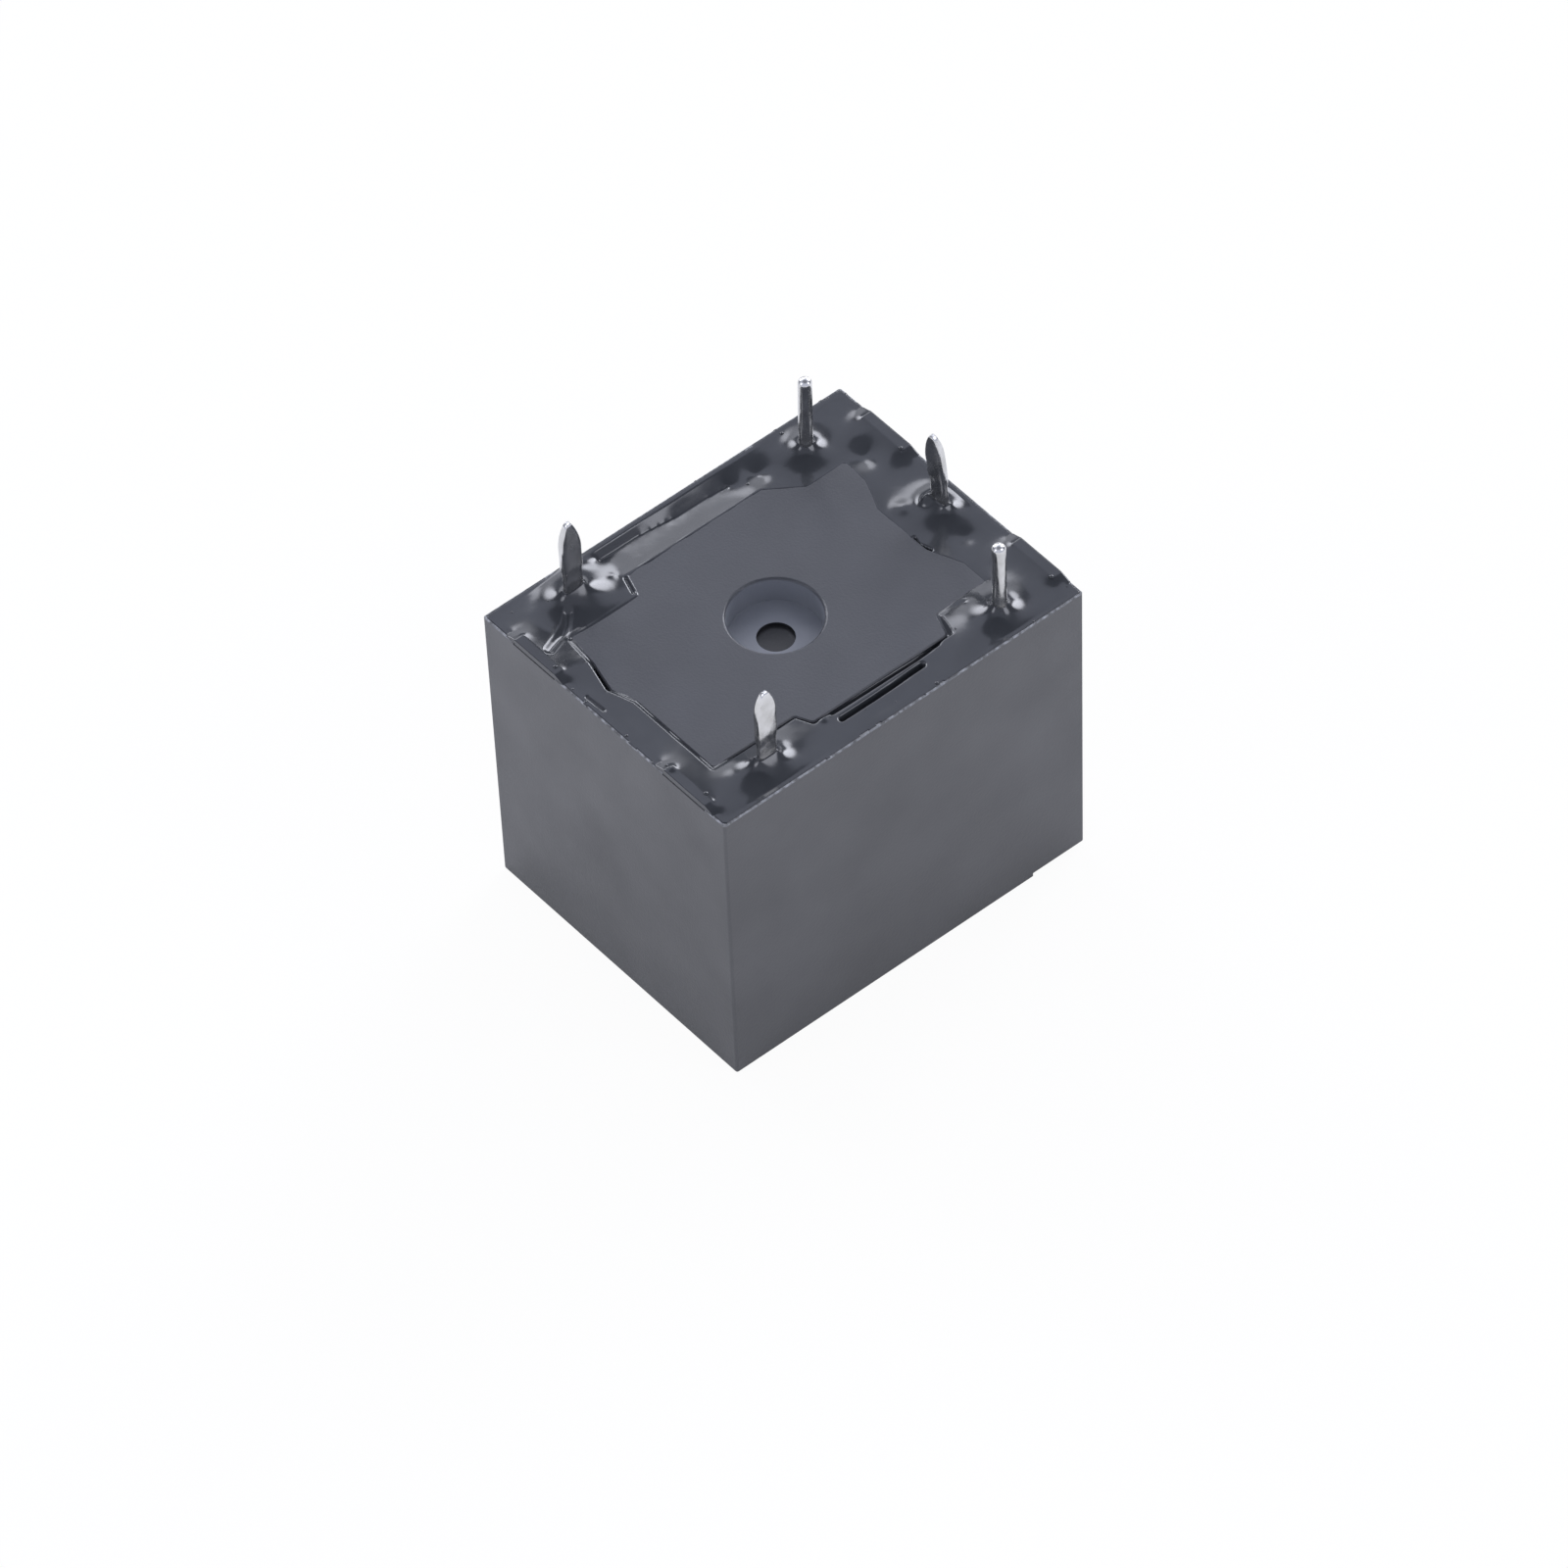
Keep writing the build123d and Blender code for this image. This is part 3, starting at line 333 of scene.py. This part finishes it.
# The free points settle as on a chessboard, dark and light squares in turn. Each is pulled towards the
# mean of its neighbours and its rest height, and a little past it, until the sheet stands still
pull = (step / capillary) ** 2
square = np.add.outer(np.arange(X.shape[0]), np.arange(X.shape[1])) % 2
past = 1.93
turns = 500
for _ in range(turns):
    for shade in (0, 1):
        padded = np.pad(surface, 1, mode="edge")
        around = padded[2:, 1:-1] + padded[:-2, 1:-1] + padded[1:-1, 2:] + padded[1:-1, :-2]
        wanted = (around + pull * rest_z) / (4 + pull)
        free = ~held & (square == shade)
        surface[free] += past * (wanted - surface)[free]

# Orange peel, away from the edges that hold the surface
loose = soft_step(to_rim, 0, 0.3) * soft_step(from_island, 0, 0.3)
surface += loose * (0.004 * ripple(1.3, 11) + 0.0012 * ripple(0.45, 12))

# Seams that opened as the epoxy shrank, each with its run, width and depth
seams = (
    ([(-2.27, -5.68), (2.1, -5.73), (3.2, -5.66), (3.7, -5.45)], 0.38, 0.5),
    ([(-2.2, -6.24), (-0.37, -6.24), (2.05, -6.17)], 0.34, 0.5),
    ([(-7.75, 2.45), (-7.93, 1.85), (-8.1, 1.25)], 0.22, 0.4),
    ([(-9.06, 1.4), (-9.0, 0.4)], 0.16, 0.1),
    ([(6.34, -0.67), (6.24, -1.07), (6.42, -1.6)], 0.20, 0.3),
    ([(-3.74, 5.35), (-3.87, 4.95), (-3.98, 4.6)], 0.24, 0.12),
    ([(-6.8, 5.3), (-7.15, 4.95), (-7.58, 4.72), (-8.12, 4.5), (-8.6, 4.28)], 0.62, 0.12),
)
for run, seam_w, seam_depth in seams:
    surface -= seam_depth * (1 - soft_step(near_line(run), 0, seam_w / 2))

# Lumps of flux, and dips where the height is negative, each with its place, radius and height
lumps = (
    (3.9, 6.35, 0.7, -0.12), (-2.75, -5.78, 0.3, 0.06), (7.85, 0.35, 0.28, 0.3), (-9.05, -3.9, 0.25, 0.06),
    (-4.1, 5.75, 0.3, 0.03), (7.0, 0.9, 0.6, 0.06), (7.9, -2.0, 0.6, -0.05), (7.8, 4.1, 0.9, -0.12),
    (-5.2, 6.0, 1.8, 0.2),
)
for x, y, lump_r, lump_h in lumps:
    surface += lump_h * mound(x, y, lump_r)

# The film ends in a ragged line just inside the cover's edge, and nearer to it at the feet
ragged = 0.05 + 0.02 * ripple(0.3, 21)
shown = (from_island > -overlap) & (to_edge > np.where(beside_foot < foot_reach, 0.02, ragged))


def placed(name, made, body, material):
    """Turns mesh code into an object of the scene, on its body, with its material and slot."""
    data = bpy.data.meshes.new(name)
    made.to_mesh(data)
    made.free()
    data.materials.append(material)
    piece = bpy.data.objects.new(name, data)
    bpy.context.scene.collection.objects.link(piece)
    if body:
        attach(piece, body)
    return piece


def sheet_to_solid(keep, top, bottom_z):
    """A closed mesh from a height over the grid cells in keep down to a flat bottom."""
    made = bmesh.new()
    corners = {}

    def corner(i, j):
        if (i, j) not in corners:
            corners[i, j] = made.verts.new((xs[i] * mm, ys[j] * mm, top[i, j] * mm))
        return corners[i, j]

    cells = keep[:-1, :-1] & keep[1:, :-1] & keep[:-1, 1:] & keep[1:, 1:]
    for i, j in zip(*np.nonzero(cells)):
        cell = (corner(i, j), corner(i + 1, j), corner(i + 1, j + 1), corner(i, j + 1))
        made.faces.new(cell).smooth = True
    rim = [edge for edge in made.edges if edge.is_boundary]
    skirt = bmesh.ops.extrude_edge_only(made, edges=rim)["geom"]
    for part in skirt:
        if isinstance(part, bmesh.types.BMVert):
            part.co.z = bottom_z * mm
        if isinstance(part, bmesh.types.BMFace):
            part.smooth = False
    lower = [part for part in skirt if isinstance(part, bmesh.types.BMEdge) and part.is_boundary]
    bmesh.ops.triangle_fill(made, edges=lower, use_beauty=False)
    bmesh.ops.recalc_face_normals(made, faces=made.faces)
    return made


def black_epoxy(tree):
    tint = clouds(tree, 2.0, 0.0, 1.0)
    colour = add(tree, "Mix", colours | {"Factor": tint, one: linear("#26282b"), other: linear("#2e3033")})
    bump = add(tree, "Bump", {"Height": clouds(tree, 0.5, 0.0, 1.0), "Distance": 0.0015 * mm})
    settings = {"Base Color": colour, "Roughness": clouds(tree, 1.5, 0.11, 0.18), "IOR": 1.55}
    return add(tree, "BsdfPrincipled", settings | {"Normal": bump})


epoxy_finish = finish("glossy_black_epoxy", black_epoxy)
poured = sheet_to_solid(shown, surface, bed_z + 0.01)
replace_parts(placed("cured_epoxy", poured, "housing", epoxy_finish), "sealant")


# Specks: dust and flash that the epoxy caught, and tiny bubbles that broke as it cured.
# Each is a low glossy drop on the seal, so it shows as a single point of light.
specks = (
    (-9.06, 3.35, 0.10), (-9.2, 2.1, 0.05), (-9.25, 1.23, 0.06), (-9.2, -1.24, 0.07), (-9.1, -3.6, 0.07),
    (-8.9, -5.8, 0.10), (-7.5, 4.35, 0.09), (5.98, 7.15, 0.09), (1.84, -7.33, 0.09), (6.88, -7.38, 0.05),
    (-7.0, 6.3, 0.04), (-8.4, 6.9, 0.04), (8.95, 3.2, 0.10), (8.9, -6.15, 0.10), (3.28, 6.09, 0.07),
    (-1.2, -6.5, 0.03), (4.31, -5.59, 0.05), (-0.03, -6.98, 0.03),
)
flatness = 0.6  # of a drop: its height to its width
drops = bmesh.new()
for x, y, r in specks:
    z = surface[np.abs(xs - x).argmin(), np.abs(ys - y).argmin()]
    low_ball = Matrix.Diagonal((r * mm, r * mm, flatness * r * mm, 1))
    place = Matrix.Translation(Vector((x, y, z)) * mm) @ low_ball
    bmesh.ops.create_icosphere(drops, subdivisions=3, radius=1.0, matrix=place)
for face in drops.faces:
    face.smooth = True
placed("caught_specks", drops, "housing", epoxy_finish)


# Coil pins: round copper-clad wire, pressed through the bobbin's lugs and dipped in tin.
# Tin gives a bright, slightly wavy mirror, softer where the flux left a haze, and a domed tip.
def dipped_tin(tree):
    tint = clouds(tree, 0.6, 0.0, 1.0)
    colour = add(tree, "Mix", colours | {"Factor": tint, one: linear("#c9c8c4"), other: linear("#dedddb")})
    waves = clouds(tree, 0.4, 0.0, 1.0, 1.0, (1, 1, 0.4))
    bump = add(tree, "Bump", {"Height": waves, "Distance": 0.014 * mm})
    settings = {"Base Color": colour, "Metallic": 1.0, "Roughness": clouds(tree, 0.4, 0.12, 0.28)}
    return add(tree, "BsdfPrincipled", settings | {"Normal": bump})


tin_finish = finish("dipped_tin", dipped_tin)
sealed_z = 15.3  # pins lean from here up
bow = 1.3  # above 1 a pin leans ever more towards its tip
wire_coat = 0.02  # thickness of the tin, from just under the seal up
unevenness = 0.027  # of the coated wire, as a share of its radius
dome = 0.24  # height of a wire's round tip


def skin(made, rings):
    """Joins rings of points, each with the same count, to a closed tube in the open mesh."""
    loops = [[made.verts.new(Vector(point) * mm) for point in ring] for ring in rings]
    count = len(loops[0])
    for lower, upper in zip(loops[:-1], loops[1:]):
        for i in range(count):
            j = (i + 1) % count
            made.faces.new((lower[i], lower[j], upper[j], upper[i])).smooth = True
    made.faces.new(loops[0][::-1])
    made.faces.new(loops[-1])


def coat(count_along, count_round, seed):
    """Random unevenness of a dipped coat, a sum of a dozen waves along and round the pin."""
    waves = np.zeros((count_along, count_round))
    random = np.random.default_rng(seed)
    turn = np.linspace(0, 2 * pi, count_round, endpoint=False)
    along = np.linspace(0, 1, count_along)
    for _ in range(12):
        times_along, times_round = random.uniform(0.5, 4.5), random.integers(0, 3)
        shift_along, shift_round = random.uniform(0, 2 * pi, 2)
        rise_and_fall = np.sin(2 * pi * times_along * along + shift_along)
        waves += np.outer(rise_and_fall, np.cos(times_round * turn + shift_round))
    return waves / 4  # about -1 to 1


stem_rings = 60
dome_rings = 14
wire_sides = 24
coil_pins = (
    ("coil_pin_a", "coil_wire_a", 1, (0.12, 0.06), 5),
    ("coil_pin_b", "coil_wire_b", -1, (0.02, 0.0), 6),
)
for node, name, side, lean, seed in coil_pins:
    foot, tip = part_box(node)
    tip_z = tip.z / mm
    uneven = coat(stem_rings + dome_rings, wire_sides, seed)
    stem = np.linspace(foot.z / mm, tip_z - dome, stem_rings)
    rounding = dome * np.sin(np.linspace(0.1, 1, dome_rings) * pi / 2)
    rings = []
    for k, z in enumerate(np.append(stem, tip_z - dome + rounding)):
        coated = float(soft_step(z, 15.2, 15.8))
        in_dome = min(1.0, max(0.0, z - tip_z + dome) / dome)
        radius = (coil_r - wire_coat + wire_coat * coated) * max(0.05, (1 - in_dome**2) ** 0.5)
        bent = max(0.0, (z - sealed_z) / (tip_z - sealed_z)) ** bow
        x, y = coil_x + lean[0] * bent, footprint_y + side * row_y + lean[1] * bent
        ring = []
        for i in range(wire_sides):
            angle = 2 * pi * i / wire_sides
            r = radius * (1 + unevenness * coated * uneven[k, i])
            ring.append((x + r * cos(angle), y + r * sin(angle), z))
        rings.append(ring)
    wire = bmesh.new()
    skin(wire, rings)
    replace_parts(placed(name, wire, "housing", tin_finish), node)


# Terminals: copper strip, stamped to a pointed blade, bent below the base and dipped in tin.
# The dip leaves rounded edges and a thicker, lumpy coat towards the point. Two lean a little.
blade_rings = 80
blade_sides = 40
shank_z = 14.9  # the CAD strip is kept below this
blade_tip_z = 19.599
point_z = 18.15  # where the blade starts to narrow
point_w = 0.22  # its width at the tip
end_h = 0.1  # height over which the tip is rounded off
thinner = 0.05  # the shank is narrower than the coated blade by this much on each side
squareness = 0.45  # of the section: 1 is an ellipse, and less is squarer


def own_strip(node):
    """The part of a terminal's own CAD mesh that lies under the seal, closed again where it is cut."""
    made = bmesh.new()
    made.from_mesh(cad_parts[node].data)
    bmesh.ops.remove_doubles(made, verts=made.verts, dist=1e-7)
    everything = list(made.verts) + list(made.edges) + list(made.faces)
    level = Vector((0, 0, shank_z * mm))
    cut = bmesh.ops.bisect_plane(
        made, geom=everything, plane_co=level, plane_no=(0, 0, 1), clear_outer=True
    )
    rims = [edge for edge in cut["geom_cut"] if isinstance(edge, bmesh.types.BMEdge)]
    bmesh.ops.triangle_fill(made, edges=rims, use_beauty=False)
    return made


def add_blade(made, place, wide_along_x, lean, seed, lumpy):
    """Adds a blade with round edges and a pointed arch, from under the seal to its tip."""
    uneven = coat(blade_rings, blade_sides, seed)
    rings = []
    for k, z in enumerate(np.linspace(shank_z - 0.3, blade_tip_z, blade_rings)):
        coated = float(soft_step(z, 15.3, 16.2))
        thick = float(soft_step(z, 16.6, 17.3))
        rise = max(0.0, (z - point_z) / (blade_tip_z - point_z))
        half_w = blade_w / 2 - thinner * (1 - thick) - (blade_w - point_w) / 2 * rise**2
        half_t = (blade_t / 2 - thinner * (1 - thick)) * (1 - 0.45 * rise**3)
        if z > blade_tip_z - end_h:
            closing = (1 - ((z - blade_tip_z + end_h) / end_h) ** 2 * 0.85) ** 0.5
            half_w, half_t = half_w * closing, half_t * closing
        bent = max(0.0, (z - sealed_z) / (blade_tip_z - sealed_z)) ** bow
        ring = []
        for i in range(blade_sides):
            angle = 2 * pi * i / blade_sides
            c, s = cos(angle), sin(angle)
            swell = coated * (0.006 + lumpy * thick) * uneven[k, i]
            wide = half_w * abs(c) ** squareness * (1 if c >= 0 else -1) + swell * c
            thin = half_t * abs(s) ** squareness * (1 if s >= 0 else -1) + swell * s * 1.5
            x, y = (wide, thin) if wide_along_x else (-thin, wide)
            ring.append((place[0] + lean[0] * bent + x, place[1] + lean[1] * bent + y, z))
        rings.append(ring)
    skin(made, rings)


terminals = (
    ("com_terminal", "common_blade_strip", (com_x, footprint_y), False, (-0.26, 0.0), 31, 0.012),
    ("nc_terminal", "closed_blade_strip", (contact_x, footprint_y + row_y), True, (-0.05, 0.13), 32, 0.008),
    ("no_terminal", "open_blade_strip", (contact_x, footprint_y - row_y), True, (0.0, 0.0), 33, 0.018),
)
for node, name, place, wide_along_x, lean, seed, lumpy in terminals:
    strip = own_strip(node)
    add_blade(strip, place, wide_along_x, lean, seed, lumpy)
    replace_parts(placed(name, strip, "housing", tin_finish), node)


# Iron circuit: core, yoke and armature of soft iron, annealed, then plated with zinc in a barrel.
# The plate is a dull grey metal with faint lines of the rolled sheet and small bright scuffs.
rolled_mm = 0.2  # the sheet's lines are finer, drawn coarser so that they show


def zinc_plate(tree):
    tint = clouds(tree, 1.2, 0.0, 1.0)
    colour = add(tree, "Mix", colours | {"Factor": tint, one: linear("#8f9090"), other: linear("#b3b3b0")})
    rolled = clouds(tree, rolled_mm, 0.0, 1.0, 2.0, (0.15, 1, 1))
    bump = add(tree, "Bump", {"Height": rolled, "Distance": 0.003 * mm})
    settings = {"Base Color": colour, "Metallic": 1.0, "Roughness": clouds(tree, 0.5, 0.3, 0.5, 4.0)}
    return add(tree, "BsdfPrincipled", settings | {"Normal": bump})


iron_finish = finish("zinc_plated_iron", zinc_plate)
for node in ("core", "yoke", "armature"):
    wear(node, iron_finish)


# Bobbin: a spool moulded round the core of natural, unpigmented PBT, with lugs for the coil pins.
# Without pigment the plastic is cream, slightly waxy, and a little darker where the glass fibres show.
fibre_mm = 0.3  # glass fibres are about 0.01 mm thick, drawn coarser so that they show


def natural_pbt(tree):
    tint = clouds(tree, fibre_mm, 0.0, 1.0, 3.0, (0.3, 1, 1))
    colour = add(tree, "Mix", colours | {"Factor": tint, one: linear("#c4bda6"), other: linear("#d8d2bf")})
    bump = add(tree, "Bump", {"Height": clouds(tree, grain_mm, 0.0, 1.0, 1.0), "Distance": 0.002 * mm})
    settings = {"Base Color": colour, "Roughness": clouds(tree, 1.5, 0.38, 0.5), "IOR": 1.57}
    return add(tree, "BsdfPrincipled", settings | {"Normal": bump})


wear("bobbin", finish("natural_pbt_bobbin", natural_pbt))


# Winding and its two leads: enamelled copper wire, wound round the bobbin and led to the coil pins.
# The clear enamel turns the copper a deep red-brown, glossy, with a fine ridge for each turn.
turn_mm = 0.16  # real wire is about 0.06 mm, drawn coarser so that the turns show


def enamelled_copper(tree):
    tint = clouds(tree, 1.5, 0.0, 1.0)
    colour = add(tree, "Mix", colours | {"Factor": tint, one: linear("#93431f"), other: linear("#b9622f")})
    place = add(tree, "TexCoord", {}).outputs["Object"]
    up = add(tree, "SeparateXYZ", {"Vector": place}).outputs["Z"]
    phase = add(tree, "Math", {"operation": "MULTIPLY", 0: up, 1: 2 * pi / (turn_mm * mm)})
    ridges = add(tree, "Math", {"operation": "SINE", 0: phase})
    bump = add(tree, "Bump", {"Height": ridges, "Distance": 0.012 * mm})
    settings = {"Base Color": colour, "Metallic": 1.0, "Roughness": clouds(tree, 0.8, 0.2, 0.34)}
    return add(tree, "BsdfPrincipled", settings | {"Normal": bump})


wire_finish = finish("enamelled_copper_wire", enamelled_copper)
for node in ("coil_winding", "coil_lead_a", "coil_lead_b"):
    wear(node, wire_finish)


# Solder: a fillet of tin solder round each coil pin, which holds the end of the winding's wire.
# It froze slowly, so it is a softer grey than the dipped tin, with a faint crystal pattern.
crystal_mm = 0.25


def frozen_solder(tree):
    cells = add(tree, "TexVoronoi", {"Scale": 1 / (crystal_mm * mm), "Randomness": 1.0})
    colour = add(tree, "Mix", colours | {"Factor": cells, one: linear("#a3a5a6"), other: linear("#c2c3c2")})
    bump = add(tree, "Bump", {"Height": cells, "Distance": 0.004 * mm})
    settings = {"Base Color": colour, "Metallic": 1.0, "Roughness": clouds(tree, 0.3, 0.25, 0.42)}
    return add(tree, "BsdfPrincipled", settings | {"Normal": bump})


solder_finish = finish("frozen_solder", frozen_solder)
for node in ("solder_a", "solder_b"):
    wear(node, solder_finish)


# Contact spring: a leaf of phosphor bronze, stamped, bent round the yoke's end and staked at both ends.
# It bends between the yoke's back and the armature. Rolled bronze is a warm, finely lined metal.
line_mm = 0.12  # the lines of the rolls are finer, drawn coarser so that they show


def rolled_bronze(tree):
    tint = clouds(tree, 0.8, 0.0, 1.0)
    colour = add(tree, "Mix", colours | {"Factor": tint, one: linear("#a8713f"), other: linear("#c48d57")})
    lines = clouds(tree, line_mm, 0.0, 1.0, 2.0, (0.05, 1, 0.05))
    bump = add(tree, "Bump", {"Height": lines, "Distance": 0.002 * mm})
    settings = {"Base Color": colour, "Metallic": 1.0, "Roughness": clouds(tree, 0.6, 0.22, 0.36)}
    return add(tree, "BsdfPrincipled", settings | {"Normal": bump})


still_z = 9.5  # above this the leaf is held on the yoke
moving_z = 4.5  # below this it goes with the armature
cut_step = 0.4  # between them it is cut across this often
leaf = bmesh.new()
leaf.from_mesh(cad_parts["contact_spring"].data)
bmesh.ops.remove_doubles(leaf, verts=leaf.verts, dist=1e-7)
for z in np.arange(moving_z, still_z + 0.1, cut_step):
    everything = list(leaf.verts) + list(leaf.edges) + list(leaf.faces)
    level = Vector((0, 0, z * mm))
    bmesh.ops.bisect_plane(leaf, geom=everything, plane_co=level, plane_no=(0, 0, 1))
bent_leaf = placed("bent_leaf", leaf, None, finish("rolled_bronze", rolled_bronze))
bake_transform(bent_leaf)
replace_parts(bent_leaf, "contact_spring")


# Contacts: rivets of silver alloy, one on the spring and one on each terminal, staked from behind.
# Silver is the whitest metal here, with a thin brownish tarnish in patches.
def tarnished_silver(tree):
    tint = clouds(tree, 0.5, 0.0, 0.8, 3.0)
    colour = add(tree, "Mix", colours | {"Factor": tint, one: linear("#dedcd8"), other: linear("#a39a8a")})
    bump = add(tree, "Bump", {"Height": clouds(tree, 0.08, 0.0, 1.0), "Distance": 0.002 * mm})
    settings = {"Base Color": colour, "Metallic": 1.0, "Roughness": clouds(tree, 0.4, 0.2, 0.4)}
    return add(tree, "BsdfPrincipled", settings | {"Normal": bump})


silver_finish = finish("tarnished_silver", tarnished_silver)
for node in ("moving_contact", "nc_contact", "no_contact"):
    wear(node, silver_finish)


# Camera: a lens so long that upright edges hardly converge, looking down at one corner of the relay.
# Its place, roll and focal length are fitted to the box's corners and the pins in the photograph.
azimuth = radians(-38.322)
elevation = radians(48.552)
roll = radians(-2.543)
distance = 583.925 * mm
aim = Vector((0, 0, 7.5 * mm))
shift_left = 0.189 * mm  # of the eye, to put the relay where it is in the photo's frame
shift_down = 2.039 * mm
focal_px = 14724.76
frame_px = 1600
sensor_mm = 36
back =Vector((sin(azimuth) * cos(elevation), -cos(azimuth) * cos(elevation), sin(elevation)))
level_right = Vector((cos(azimuth), sin(azimuth), 0))
level_up = back.cross(level_right)
right = level_right * cos(roll) + level_up * sin(roll)
up = level_up * cos(roll) - level_right * sin(roll)
eye = aim + back * distance - right * shift_left - up * shift_down
camera = bpy.data.objects.new("camera", bpy.data.cameras.new("camera"))
camera.data.sensor_width = sensor_mm
camera.data.lens = sensor_mm * focal_px / frame_px
camera.data.clip_start = 0.05
camera.data.clip_end = 20
camera.matrix_world = Matrix.Translation(eye) @ Matrix((right, up, back)).transposed().to_4x4()
bpy.context.scene.collection.objects.link(camera)
bpy.context.scene.camera = camera


# Floor: a sheet of white card that runs out of sight. To the camera it glows white, with a trace of the
# relay's soft shadow, and where shiny pieces mirror it, it glows a little.
reach = 3.0
glow_seen = 0.95  # share of glow in what the camera sees of the card
glow_mirrored = 0.3  # the same in what shiny pieces mirror
corners =[(-reach, -reach, 0), (reach, -reach, 0), (reach, reach, 0), (-reach, reach, 0)]
floor_mesh = bpy.data.meshes.new("floor")
floor_mesh.from_pydata(corners, [], [(0, 1, 2, 3)])
floor = bpy.data.objects.new("floor", floor_mesh)
bpy.context.scene.collection.objects.link(floor)


def white_card(tree):
    card = add(tree, "BsdfDiffuse", {"Color": linear("#e6e6e6")})
    glow = add(tree, "Emission", {"Color": linear("#ffffff"), "Strength": 1.0})
    ray = add(tree, "LightPath", {}).outputs
    either = {0: ray["Is Glossy Ray"], 1: ray["Is Transmission Ray"]}
    mirrored = add(tree, "Math", {"operation": "MAXIMUM"} | either)
    in_mirror = add(tree, "Math", {"operation": "MULTIPLY", 0: mirrored, 1: glow_mirrored})
    seen = add(tree, "Math", {"operation": "MULTIPLY", 0: ray["Is Camera Ray"], 1: glow_seen})
    share = add(tree, "Math", {"operation": "MAXIMUM", 0: in_mirror, 1: seen})
    return add(tree, "MixShader", {"Fac": share, 1: card, 2: glow})


floor_mesh.materials.append(finish("white_card", white_card))


# Light: a pale tent all round. Behind the relay hang two large soft lamps, with a dimmer one and two small
# ones between them, and there is one more at each side. Above them is a band of ceiling, and a soft fill
# comes from the front. The wet-looking epoxy and the tin mirror all of these.
tent_glow = 0.32
world =bpy.data.worlds.new("tent")
world.use_nodes = True
world.node_tree.nodes.clear()
bpy.context.scene.world = world
tree = world.node_tree
toward = add(tree, "TexCoord", {}).outputs["Generated"]
up_share = add(tree, "SeparateXYZ", {"Vector": toward}).outputs["Z"]
ahead = Vector((-back.x, -back.y, 0)).normalized()


def lamp(side, rise, radius, edge, strength):
    """A round lamp: degrees left of straight behind, degrees up, degrees of radius and of soft edge."""
    flat = ahead * cos(radians(side)) - level_right * sin(radians(side))
    way = flat * cos(radians(rise)) + Vector((0, 0, sin(radians(rise))))
    close = add(tree, "VectorMath", {"operation": "DOT_PRODUCT", 0: toward, 1: way})
    disc = {"Value": close, "From Min": cos(radians(radius + edge)), "From Max": cos(radians(radius))}
    return add(tree, "MapRange", smooth | disc | {"To Max": strength})


def band(low, high, edge, dim_facing, full_facing, strength):
    """Light between two elevations, growing from dim_facing to full_facing; 1 is straight behind."""
    lower = {"Value": up_share, "From Min": sin(radians(low - edge)), "From Max": sin(radians(low))}
    upper = {"Value": up_share, "From Min": sin(radians(high)), "From Max": sin(radians(high + edge))}
    above_low = add(tree, "MapRange", smooth | lower)
    below_high = add(tree, "MapRange", smooth | falling | upper)
    between = add(tree, "Math", {"operation": "MULTIPLY", 0: above_low, 1: below_high})
    facing = add(tree, "VectorMath", {"operation": "DOT_PRODUCT", 0: toward, 1: ahead})
    turned = {"Value": facing, "From Min": dim_facing, "From Max": full_facing, "To Max": strength}
    by_facing = add(tree, "MapRange", smooth | turned)
    return add(tree, "Math", {"operation": "MULTIPLY", 0: between, 1: by_facing})


def total(lights):
    """The sum of some lights."""
    so_far = lights[0]
    for light in lights[1:]:
        so_far = add(tree, "Math", {"operation": "ADD", 0: so_far, 1: light})
    return so_far


ceiling = band(45, 60, 4, 0.0, 0.4, 1.0)
fill = band(0, 62, 8, 0.2, -0.3, 0.55)
everywhere = add(tree, "Math", {"operation": "ADD", 0: total([ceiling, fill]), 1: tent_glow})
sky = add(tree, "Background", {"Color": linear("#e6ebff"), "Strength": everywhere})
large = [lamp(8, 28, 8, 10, 1.9), lamp(-37, 25, 10, 9, 10.0), lamp(38, 25, 8, 9, 8.0)]
small = [lamp(-13, 21, 4, 6, 6.5), lamp(13, 39, 3, 4, 4.0)]
lamps = total([*large, *small, lamp(-110, 40, 8, 6, 4.0), lamp(110, 35, 8, 6, 3.5)])
bright = add(tree, "Background", {"Color": linear("#f3f5ff"), "Strength": lamps})
tent = add(tree, "AddShader", {0: sky, 1: bright})
white = add(tree, "Background", {"Color": linear("#ffffff"), "Strength": 1.0})
is_camera = add(tree, "LightPath", {}).outputs["Is Camera Ray"]
add(tree, "OutputWorld", {"Surface": add(tree, "MixShader", {"Fac": is_camera, 1: tent, 2: white})})

bpy.context.scene.view_settings.view_transform = "Standard"
